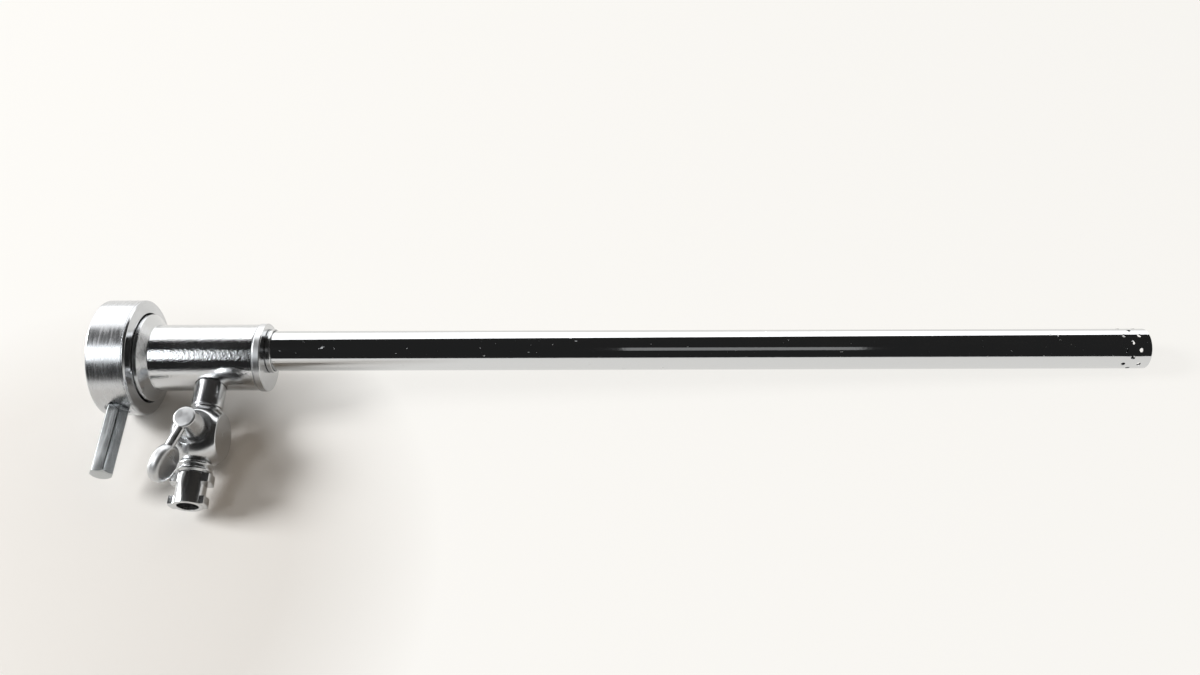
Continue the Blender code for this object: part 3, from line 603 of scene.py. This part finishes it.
# %% End cap and collar
TUBE_HOLE = 4.4
COLLAR_START = CAP_FACE + GAP
COLLAR_END = CAP_FACE + 1.1
cap_body = turn_mesh(
    "end_cap_skin",
    CANNULA,
    [
        (0, CAP_FACE),
        (7.3, CAP_FACE, 0.22),
        (7.3, BODY_END + GAP, 0.22),
        (6.35, BODY_END + GAP),
        (6.35, BODY_END - 2.2),
        (6.0, BODY_END - 2.2),
        (6.0, CAP_FACE - CAP_WALL),
        (0, CAP_FACE - CAP_WALL),
    ],
    192,
)
cap_hole = bar("cap_hole", BORE_LINE, TUBE_HOLE, 30, 36, 96)
cap_mesh = milled("end_cap_skin", cap_body, ("DIFFERENCE", cap_hole))
seat(show("end_cap_skin", cap_mesh, CAP_STEEL), "housing", "polished_steel", "end_cap")

turned(
    "tube_collar_skin",
    BORE_LINE,
    [
        (4.75, COLLAR_END, 0.15),
        (4.75, COLLAR_START, 0.1),
        (TUBE_HOLE, COLLAR_START),
        (TUBE_HOLE, COLLAR_END, 0.1),
    ],
    CAP_STEEL,
    "housing",
    "polished_steel",
    "tube_collar",
)

# %% [markdown]
# Twenty-four small holes vent the tube's tip, in three rings of eight, each ring turned half a step
# against the last. A Geometry Nodes tree places one drill on a point for each hole, and one Boolean
# node drills them all, so the pattern can be changed by its inputs.

# %% Vent hole tree
DRILL_SIDES = 24
DRILL_DEPTH = 2.0


def vent_tree():
    tree = bpy.data.node_groups.new("vent_holes", "GeometryNodeTree")
    face = tree.interface
    face.new_socket("Geometry", in_out="INPUT", socket_type="NodeSocketGeometry")
    sizes = {
        "Rings": ("NodeSocketInt", 3),
        "Holes in a ring": ("NodeSocketInt", 8),
        "Hole radius": ("NodeSocketFloat", 0.45 * MM),
        "First ring": ("NodeSocketFloat", (TIP - 2.3) * MM),
        "Ring pitch": ("NodeSocketFloat", 1.65 * MM),
        "Tube radius": ("NodeSocketFloat", TUBE_RADIUS * MM),
        "Tube centre": ("NodeSocketVector", BORE * MM),
    }
    for name, (kind, value) in sizes.items():
        face.new_socket(name, in_out="INPUT", socket_type=kind).default_value = value
    face.new_socket("Steel", in_out="INPUT", socket_type="NodeSocketMaterial")
    face.new_socket("Geometry", in_out="OUTPUT", socket_type="NodeSocketGeometry")
    node = tree.nodes.new
    source = node("NodeGroupInput").outputs
    result = node("NodeGroupOutput").inputs

    # Each point's number gives its ring and its place in that ring.
    index = node("GeometryNodeInputIndex").outputs["Index"]
    per_ring = source["Holes in a ring"]
    ring = maths(tree, "FLOOR", maths(tree, "DIVIDE", maths(tree, "ADD", index, 0.5), per_ring))
    half_step = maths(tree, "MULTIPLY", maths(tree, "MODULO", ring, 2), 0.5)
    share = maths(tree, "DIVIDE", maths(tree, "ADD", index, half_step), per_ring)
    angle = maths(tree, "MULTIPLY", share, 2 * math.pi)

    # The ring and the angle give the hole's place on the tube.
    across = node("ShaderNodeCombineXYZ")
    feed(tree, across.inputs["Y"], maths(tree, "COSINE", angle))
    feed(tree, across.inputs["Z"], maths(tree, "SINE", angle))
    outward = across.outputs["Vector"]
    back = maths(tree, "MULTIPLY", ring, source["Ring pitch"])
    station = node("ShaderNodeCombineXYZ")
    feed(tree, station.inputs["X"], maths(tree, "SUBTRACT", source["First ring"], back))
    reach = vector_maths(tree, "SCALE", outward, source["Tube radius"])
    on_tube = vector_maths(tree, "ADD", reach, station.outputs["Vector"])
    place = vector_maths(tree, "ADD", on_tube, source["Tube centre"])

    # One drill stands on each point and faces outwards.
    points = node("GeometryNodePoints")
    feed(tree, points.inputs["Count"], maths(tree, "MULTIPLY", source["Rings"], per_ring))
    feed(tree, points.inputs["Position"], place)
    align = node("FunctionNodeAlignRotationToVector")
    align.axis = "Z"
    feed(tree, align.inputs["Vector"], outward)
    drill = node("GeometryNodeMeshCylinder")
    feed(tree, drill.inputs["Vertices"], DRILL_SIDES)
    feed(tree, drill.inputs["Radius"], source["Hole radius"])
    feed(tree, drill.inputs["Depth"], DRILL_DEPTH * MM)
    drills = node("GeometryNodeInstanceOnPoints")
    feed(tree, drills.inputs["Points"], points.outputs["Points"])
    feed(tree, drills.inputs["Instance"], drill.outputs["Mesh"])
    feed(tree, drills.inputs["Rotation"], align.outputs["Rotation"])
    cutter = node("GeometryNodeRealizeInstances")
    feed(tree, cutter.inputs["Geometry"], drills.outputs["Instances"])

    # The drills are cut from the tube, which then gets its steel.
    drilled = node("GeometryNodeMeshBoolean")
    drilled.operation = "DIFFERENCE"
    drilled.solver = "EXACT"
    feed(tree, drilled.inputs["Mesh 1"], source["Geometry"])
    feed(tree, drilled.inputs["Mesh 2"], cutter.outputs["Geometry"])
    real = node("GeometryNodeRealizeInstances")
    feed(tree, real.inputs["Geometry"], drilled.outputs["Mesh"])
    steel = node("GeometryNodeSetMaterial")
    feed(tree, steel.inputs["Geometry"], real.outputs["Geometry"])
    feed(tree, steel.inputs["Material"], source["Steel"])
    feed(tree, result["Geometry"], steel.outputs["Geometry"])
    return tree


def grown(obj, tree, values):
    """Runs a tree on an object with the given inputs, and returns the plain mesh it makes."""
    modifier = obj.modifiers.new(tree.name, "NODES")
    modifier.node_group = tree
    for item in tree.interface.items_tree:
        if item.in_out == "INPUT" and item.name in values:
            modifier[item.identifier] = values[item.name]
    graph = bpy.context.evaluated_depsgraph_get()
    mesh = bpy.data.meshes.new_from_object(obj.evaluated_get(graph))
    obj.modifiers.remove(modifier)
    return mesh


# %% Cannula tube
TUBE_ROOT = CAP_FACE - CAP_WALL - 2.2
VENTS_START = TIP - 6.6
VENTS_END = TIP - 1.2
tube_profile = [
    (TUBE_RADIUS, TIP, 0.14),
    (TUBE_RADIUS, VENTS_END),
    (TUBE_RADIUS, VENTS_START),
    (TUBE_RADIUS, TUBE_ROOT),
    (TUBE_BORE, TUBE_ROOT),
    (TUBE_BORE, VENTS_START),
    (TUBE_BORE, VENTS_END),
    (TUBE_BORE, TIP, 0.1),
]
blank = bpy.data.objects.new("tube_blank", turn_mesh("tube_blank", BORE_LINE, tube_profile, 160))
bpy.context.scene.collection.objects.link(blank)
tube_mesh = grown(blank, vent_tree(), {"Steel": TUBE_STEEL})
bpy.data.objects.remove(blank)
seat(show("cannula_tube_skin", tube_mesh, TUBE_STEEL), "housing", "polished_steel", "cannula_tube")

# %% [markdown]
# What lies inside the rear mouth is small, but it shows from behind: the nut that holds the ring
# on, the slotted retainer, the rubber seal with its off-centre hole, and the flap behind it.

# %% Retaining nut
nut_body = turn_mesh(
    "retaining_nut_skin",
    CANNULA,
    [(9.9, 4.6, 0.08), (9.9, 3.2, 0.12), (8.1, 3.2, 0.12), (8.1, 4.6)],
)
nut_slots = block_mesh("nut_slots", CANNULA, (-0.7, -11, 2), (0.7, 11, 3.8))
nut_mesh = milled("retaining_nut_skin", nut_body, ("DIFFERENCE", nut_slots))
seat(show("retaining_nut_skin", nut_mesh, CAP_STEEL), "housing", "satin_steel", "retaining_nut")

# %% Seal and its retainer
SEAL_THICKNESS = 2.2
seal_back = SOCKET_END - GAP
seal_front = seal_back - SEAL_THICKNESS
retainer_body = turn_mesh(
    "seal_retainer_skin",
    CANNULA,
    [(0, seal_back - 2.3), (6.65, seal_back - 2.3), (6.65, HUB_START, 0.15), (0, HUB_START)],
)
retainer_mesh = milled(
    "seal_retainer_skin",
    retainer_body,
    ("DIFFERENCE", bar("retainer_hole", BORE_LINE, PASSAGE_RADIUS, 2, 6, 96)),
    ("DIFFERENCE", block_mesh("retainer_slots", CANNULA, (-0.7, -8, 2), (0.7, 8, 3.6))),
)
retainer = show("seal_retainer_skin", retainer_mesh, CAP_STEEL)
seat(retainer, "housing", "satin_steel", "seal_retainer")

seal_body = turn_mesh(
    "entry_seal_skin",
    CANNULA,
    [(0, seal_back), (6.65, seal_back, 0.1), (6.65, seal_front, 0.1), (0, seal_front)],
)
lead_in = turn_mesh(
    "lead_in",
    BORE_LINE,
    [
        (0, 9),
        (3.6, 9),
        (3.6, seal_back - 1.1),
        (PASSAGE_RADIUS, seal_front),
        (PASSAGE_RADIUS, 3),
        (0, 3),
    ],
    96,
)
seal_mesh = milled("entry_seal_skin", seal_body, ("DIFFERENCE", lead_in))
seat(show("entry_seal_skin", seal_mesh, SEAL_RUBBER), "housing", "seal_rubber", "entry_seal")

# %% [markdown]
# Eight pieces are seen so little that the solid ones serve as they are, and only get a material:
# the O-ring, the parts of the flap valve, the plug and its spring.

# %% Pieces kept from the solid model
CARRIED = {
    "ring_o_ring": SEAL_RUBBER,
    "flap_gasket": SEAL_RUBBER,
    "valve_seat": CAP_STEEL,
    "flap_disc": CAP_STEEL,
    "flap_pin": CAP_STEEL,
    "flap_spring": SPRING_STEEL,
    "plug_spring": SPRING_STEEL,
    "tap_plug": PLUG_STEEL,
}
for name, material in CARRIED.items():
    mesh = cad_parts[name].data
    mesh.materials.clear()
    mesh.materials.append(material)
print("solid nodes kept as they are:", ", ".join(CARRIED))

# %% [markdown]
# The stopcock body starts as a turned ball between two necks. Its flats are milled, and the mill
# leaves a small round edge. Pulling every point beyond a flat onto it, with a soft start, gives
# both in one step, and keeps the mesh even enough for a mirror finish. The mill only reaches the
# ball, and stays clear of the necks and the passage inside.

# %% Stopcock body
BALL_STEPS = 120
FACE_ACROSS = 4.6
FACE_ABOVE = 5.35
MILL_REACH = 6.2
MILL_CLEAR = 2.9


def soft_limit(value, limit, edge=0.12):
    """Follows value up to the limit and rounds the corner over edge."""
    size = abs(value)
    if size <= limit - edge:
        return value
    if size >= limit + edge:
        return math.copysign(limit, value)
    over = size - (limit - edge)
    return math.copysign(size - over * over / (4 * edge), value)


turned(
    "tap_ferrule_skin",
    OUTLET,
    [(3.2, FERRULE_END, 0.3), (3.2, 6.7), (2.7, 6.7), (2.7, FERRULE_END, 0.12)],
    TAP_STEEL,
    "housing",
    "polished_steel",
    "tap_ferrule",
    segments=96,
)

ball = []
outlet_angle = math.asin(OUTLET_NECK / BALL_RADIUS)
inlet_angle = math.pi - math.asin(INLET_NECK / BALL_RADIUS)
for step in range(BALL_STEPS + 1):
    angle = outlet_angle + (inlet_angle - outlet_angle) * step / BALL_STEPS
    ball.append((BALL_RADIUS * math.sin(angle), TAP_CENTRE + BALL_RADIUS * math.cos(angle)))
tap_profile = [
    (2.2, BALL_END + 4.3),
    (2.2, BALL_END),
    *ball,
    (INLET_NECK, FERRULE_END + GAP, 0.1),
    (2.6, FERRULE_END + GAP),
    (2.6, 9.9),
    (1.3, 9.9),
    (1.3, BALL_END + 4.3),
]
tap_mesh = turn_mesh("tap_body_skin", OUTLET, tap_profile, 256)
to_line = OUTLET.inverted()
for vertex in tap_mesh.vertices:
    local = to_line @ (vertex.co / MM)
    on_ball = abs(local.z - TAP_CENTRE) < MILL_REACH
    if on_ball and math.hypot(local.x, local.y) > MILL_CLEAR:
        local.x = soft_limit(local.x, FACE_ACROSS)
        local.y = soft_limit(local.y, FACE_ABOVE)
        vertex.co = OUTLET @ local * MM
tap_mesh.update()
seat(show("tap_body_skin", tap_mesh, TAP_STEEL), "housing", "polished_steel", "tap_body")

# %% [markdown]
# The handle is a hub, an arm and a round paddle that is held edge up, like a coin. The arm leaves
# the hub's top and runs into the paddle's rim.

# %% Handle
ARM_LEVEL = HANDLE_START + 3.8
PADDLE_REACH = 9.4
PADDLE_DROP = 1.5
hub_top = ARM_LEVEL + 1.1
hub_mesh = turn_mesh(
    "handle_hub",
    PLUG_LINE,
    [(0, hub_top), (2.2, hub_top, 0.4), (2.95, HANDLE_START, 0.06), (0, HANDLE_START)],
    96,
)
arm_line = line_along(TAP + PLUG * ARM_LEVEL, HANDLE, PLUG)
arm_mesh = turn_mesh("handle_arm", arm_line, [(0, 6.6), (1.0, 6.6), (1.0, 0), (0, 0)], 48)
paddle_place = TAP + HANDLE * PADDLE_REACH + PLUG * (ARM_LEVEL - PADDLE_DROP)
paddle_line = line_along(paddle_place, HANDLE.cross(PLUG), HANDLE)
paddle_mesh = turn_mesh(
    "handle_paddle",
    paddle_line,
    [(0, 1.2), (3.9, 1.2, 0.85), (3.9, -1.2, 0.85), (0, -1.2)],
    128,
)
handle_mesh = milled("tap_handle_skin", hub_mesh, ("UNION", arm_mesh), ("UNION", paddle_mesh))
seat(show("tap_handle_skin", handle_mesh, PLUG_STEEL), "plug", "polished_steel", "tap_handle")

# %% Washer and nut under the stopcock
STUD_HOLE = 1.3
WASHER_TOP = -5.5
WASHER = 0.4
SPRING_HEIGHT = 0.85
NUT_HEIGHT = 1.1
SLOT_DEPTH = 0.37
washer_foot = WASHER_TOP - WASHER
turned(
    "plug_washer_skin",
    PLUG_LINE,
    [
        (2.6, WASHER_TOP, 0.05),
        (2.6, washer_foot, 0.1),
        (STUD_HOLE, washer_foot),
        (STUD_HOLE, WASHER_TOP),
    ],
    NUT_STEEL,
    "plug",
    "satin_steel",
    "plug_washer",
    segments=96,
)
nut_top = washer_foot - GAP - SPRING_HEIGHT - GAP
nut_foot = nut_top - NUT_HEIGHT
plug_nut_body = turn_mesh(
    "plug_nut_skin",
    PLUG_LINE,
    [(2.5, nut_top, 0.08), (2.5, nut_foot, 0.45), (STUD_HOLE, nut_foot), (STUD_HOLE, nut_top)],
    96,
)
slot_top = nut_foot + SLOT_DEPTH
nut_slot = block_mesh("nut_slot", PLUG_LINE, (-0.35, -4, nut_top - 3), (0.35, 4, slot_top))
plug_nut_mesh = milled("plug_nut_skin", plug_nut_body, ("DIFFERENCE", nut_slot))
seat(show("plug_nut_skin", plug_nut_mesh, NUT_STEEL), "plug", "satin_steel", "plug_nut")

# %% [markdown]
# The outlet is a ringed union and a standard luer barrel. Two ears grip behind the union's ridges,
# and two lugs at the mouth hold a syringe or a tap line.

# %% Outlet union
union_end = UNION_START + 2.4
turned(
    "outlet_union_skin",
    OUTLET,
    [
        (2.3, union_end),
        (3.15, union_end, 0.05),
        (3.8, UNION_START + 1.8, 0.3),
        (3.15, UNION_START + 1.2, 0.08),
        (3.8, UNION_START + 0.6, 0.3),
        (3.15, UNION_START, 0.05),
        (2.3, UNION_START),
    ],
    TAP_STEEL,
    "housing",
    "polished_steel",
    "outlet_union",
    segments=96,
)

# %% Luer connector


def lug_mesh(name, span, width, start, length):
    """Two opposite lugs: a ring with all but a strip across it milled away."""
    end = start + length
    ring = turn_mesh(
        name,
        OUTLET,
        [(span, end, 0.15), (span, start, 0.15), (2.6, start), (2.6, end)],
        96,
    )
    strip = block_mesh("strip", OUTLET, (-9, -width / 2, start - 1), (9, width / 2, end + 1))
    return milled(name, ring, ("INTERSECT", strip))


barrel = turn_mesh(
    "luer_connector_skin",
    OUTLET,
    [
        (2.15, LUER_END, 0.12),
        (3.05, LUER_END, 0.15),
        (3.05, LUER_START, 0.15),
        (2.3, LUER_START),
        (2.3, LUER_START + 2.0),
        (1.3, LUER_START + 2.0),
        (1.3, LUER_START + 2.6),
        (2.03, LUER_START + 2.6),
    ],
    96,
)
luer_mesh = milled(
    "luer_connector_skin",
    barrel,
    ("UNION", lug_mesh("union_ears", 4.25, 3.8, LUER_START + GAP, 1.8)),
    ("UNION", lug_mesh("luer_lugs", 3.9, 3.2, LUER_END - 1.8, 1.7)),
)
luer = show("luer_connector_skin", luer_mesh, TAP_STEEL)
seat(luer, "housing", "polished_steel", "luer_connector")

# %% [markdown]
# The cannula lies on a pale floor. It rests on the lock ring and on the tube's tip, and the tip is
# the higher of the two, so the floor is leant by about two degrees to touch both. It reaches four
# metres each way.

# %% Floor
FLOOR_REACH = 4
FLOOR_DROP = 0.02
RING_TOUCH = 4.0
tube_low = (BORE.z - TUBE_RADIUS) * MM
lean = math.atan2(tube_low, (TIP - RING_TOUCH) * MM)
floor_mesh = bpy.data.meshes.new("floor")
floor_shape = bmesh.new()
bmesh.ops.create_grid(floor_shape, x_segments=1, y_segments=1, size=FLOOR_REACH)
floor_shape.to_mesh(floor_mesh)
floor_shape.free()
floor = bpy.data.objects.new("floor", floor_mesh)
bpy.context.scene.collection.objects.link(floor)
floor.location = ((REAR.x + RING_TOUCH) * MM, 0, -FLOOR_DROP * MM)
floor.rotation_euler = (0, -lean, 0)
print("floor leans by", round(math.degrees(lean), 2), "degrees")

# %% [markdown]
# A pale table looks whitest away from the object's shade, so the floor glows where the camera sees
# it, straight or in the steel. This glow is painted light: away from the head it whitens the floor
# and washes out the tube's own shadow there. The glow fades out near the head, where the shadows
# lie. After a matt bounce there is no glow at all, so it lights nothing. Its middle and its edges
# are measured on the floor, in metres.

# %% Floor paint
FLOOR_PAINT = (0.92, 0.90, 0.865)
FLOOR_ROUGHNESS = 0.6
GLOW_COLOUR = (1.0, 0.985, 0.95, 1)
GLOW_SHARE = 0.85
GLOW_START = 0.045
GLOW_END = 0.075
HEAD_PLACE = (-0.005, -0.035, 0)


def seen_directly(tree):
    """One for what the camera sees, straight or in metal, and nought after a matt bounce."""
    ray = tree.nodes.new("ShaderNodeLightPath").outputs
    seen = maths(tree, "MAXIMUM", ray["Is Camera Ray"], ray["Is Glossy Ray"])
    before_bounce = maths(tree, "LESS_THAN", ray["Diffuse Depth"], 0.5)
    return maths(tree, "MULTIPLY", seen, before_bounce)


floor_paint, paint, paint_shader = new_material("floor_paint", FLOOR_PAINT, FLOOR_ROUGHNESS, 0.0)
spot_on_floor = paint.nodes.new("ShaderNodeTexCoord").outputs["Object"]
from_head = vector_maths(paint, "DISTANCE", spot_on_floor, HEAD_PLACE)
# Painted light: the glow's share is nought near the head and high further out, where it hides the
# tube's shadow.
share = remap(paint, from_head, 0.0, GLOW_SHARE, GLOW_START, GLOW_END)
glow = paint.nodes.new("ShaderNodeEmission")
glow.inputs["Color"].default_value = GLOW_COLOUR
blend = paint.nodes.new("ShaderNodeMixShader")
feed(paint, blend.inputs["Fac"], maths(paint, "MULTIPLY", share, seen_directly(paint)))
feed(paint, blend.inputs[1], paint_shader.outputs["BSDF"])
feed(paint, blend.inputs[2], glow.outputs["Emission"])
feed(paint, paint.nodes["Material Output"].inputs["Surface"], blend.outputs["Shader"])
floor_mesh.materials.append(floor_paint)
print("floor paint nodes:", len(paint.nodes))

# %% [markdown]
# Polished steel only looks like steel when there is something to reflect. The room is a bright wall
# behind the cannula, up to fifty-four degrees above the level and lower towards the right, a dim
# ceiling over the rest, and a low pale wall all round. The bright wall gives the white band along
# the top of every round piece, the ceiling the dark one, and the pale floor fills the underside.
# That room shows to the camera and in shiny surfaces alone. Matt ones are lit by three soft lamps
# and a warm fill from the right rear. The lamp on the left turns the shadows to the right, and the
# two in front add streaks of light to the round pieces.

# %% Lamps


def soft_light(name, place, facing, width, height, radiance, colour=(1, 1, 1)):
    """A rectangle of even light with its back to facing, as bright as its radiance says."""
    data = bpy.data.lights.new(name, "AREA")
    data.shape = "RECTANGLE"
    data.size = width
    data.size_y = height
    data.energy = radiance * math.pi * width * height
    data.color = colour
    lamp = bpy.data.objects.new(name, data)
    bpy.context.scene.collection.objects.link(lamp)
    lamp.matrix_world = line_along(Vector(place), Vector(facing), ALONG)
    lamp.visible_camera = False
    print(name, "shines with", round(data.energy, 2), "watts")


soft_light(
    "streak_lamp",
    place=(-0.578, -0.435, 0.753),
    facing=(0, -0.5, 0.866),
    width=0.28,
    height=0.44,
    radiance=3.4,
    colour=(0.95, 0.98, 1.0),
)
soft_light(
    "left_lamp",
    place=(-1.05, 0.05, 0.66),
    facing=(-0.94, 0.05, 0.66),
    width=0.4,
    height=0.4,
    radiance=27.0,
)
soft_light(
    "far_window",
    place=(0.16, -0.57, 0.82),
    facing=(0, -0.57, 0.82),
    width=0.28,
    height=0.28,
    radiance=0.25,
)

# %% Room
WALL_TOP = math.radians(54)
WALL_FALL = 0.46
WALL_LIGHT = (2.1, 2.1, 2.1, 1)
WALL_BLUR = 0.02
CEILING_LIGHT = (0.020, 0.020, 0.020, 1)
LOW_WALL_LIGHT = (0.9, 0.89, 0.87, 1)
LOW_WALL_TOP = (0.06, 0.08)
FILL_LIGHT = (0.45, 0.39, 0.33, 1)
FILL_SIDE = (0.62, 0.30, 0.72)
FILL_EDGE = (0.4, 0.9)
BLACK = (0, 0, 0, 1)

world = bpy.data.worlds.new("room")
bpy.context.scene.world = world
world.use_nodes = True
room = world.node_tree
direction = room.nodes.new("ShaderNodeTexCoord").outputs["Generated"]
below_edge = (-WALL_FALL, math.sin(WALL_TOP), -math.cos(WALL_TOP))
depth = vector_maths(room, "DOT_PRODUCT", direction, below_edge)
on_wall = remap(room, depth, 0, 1, -WALL_BLUR, WALL_BLUR)
upper = mixed_colour(room, on_wall, CEILING_LIGHT, WALL_LIGHT)
level = room.nodes.new("ShaderNodeSeparateXYZ")
feed(room, level.inputs["Vector"], direction)
above_low_wall = remap(room, level.outputs["Z"], 0, 1, *LOW_WALL_TOP)
walls = mixed_colour(room, above_low_wall, LOW_WALL_LIGHT, upper)
nearness = vector_maths(room, "DOT_PRODUCT", direction, FILL_SIDE)
fill = mixed_colour(room, remap(room, nearness, 0, 1, *FILL_EDGE), BLACK, FILL_LIGHT)
sky = mixed_colour(room, seen_directly(room), fill, walls)
feed(room, room.nodes["Background"].inputs["Color"], sky)
print("room nodes:", len(room.nodes))

# %% [markdown]
# The camera stands in front, forty-nine degrees above the level, and looks square at the cannula.
# It is rolled by a sixth of a degree, as a picture taken by hand would be. Three of its numbers are
# pixels of the photograph: its middle column, the column where the middle of the ring's rear face
# lies, and how far the cannula lies below the middle row.

# %% Camera
ELEVATION = math.radians(49)
ROLL = math.radians(-0.16)
LENS = 31.5
SENSOR = 36
DISTANCE = 226.0
MM_PER_PIXEL = 0.2152
PHOTO_MIDDLE = 600
REAR_IN_PHOTO = 111.7
RISE_IN_PHOTO = 19.1
view = Vector((0, math.cos(ELEVATION), -math.sin(ELEVATION)))
up = Vector((0, math.sin(ELEVATION), math.cos(ELEVATION)))
aim = REAR + ALONG * (PHOTO_MIDDLE - REAR_IN_PHOTO) * MM_PER_PIXEL
stand = aim - view * DISTANCE + up * RISE_IN_PHOTO * MM_PER_PIXEL
camera_data = bpy.data.cameras.new("camera")
camera_data.lens = LENS
camera_data.sensor_width = SENSOR
camera_data.clip_start = 0.01
camera = bpy.data.objects.new("camera", camera_data)
bpy.context.scene.collection.objects.link(camera)
rotation = Matrix((ALONG, up, -view)).transposed() @ Matrix.Rotation(ROLL, 3, "Z")
camera.matrix_world = Matrix.Translation(stand * MM) @ rotation.to_4x4()
bpy.context.scene.camera = camera
bpy.context.scene.view_settings.view_transform = "Standard"
print("camera stands at", [round(c, 3) for c in stand * MM])
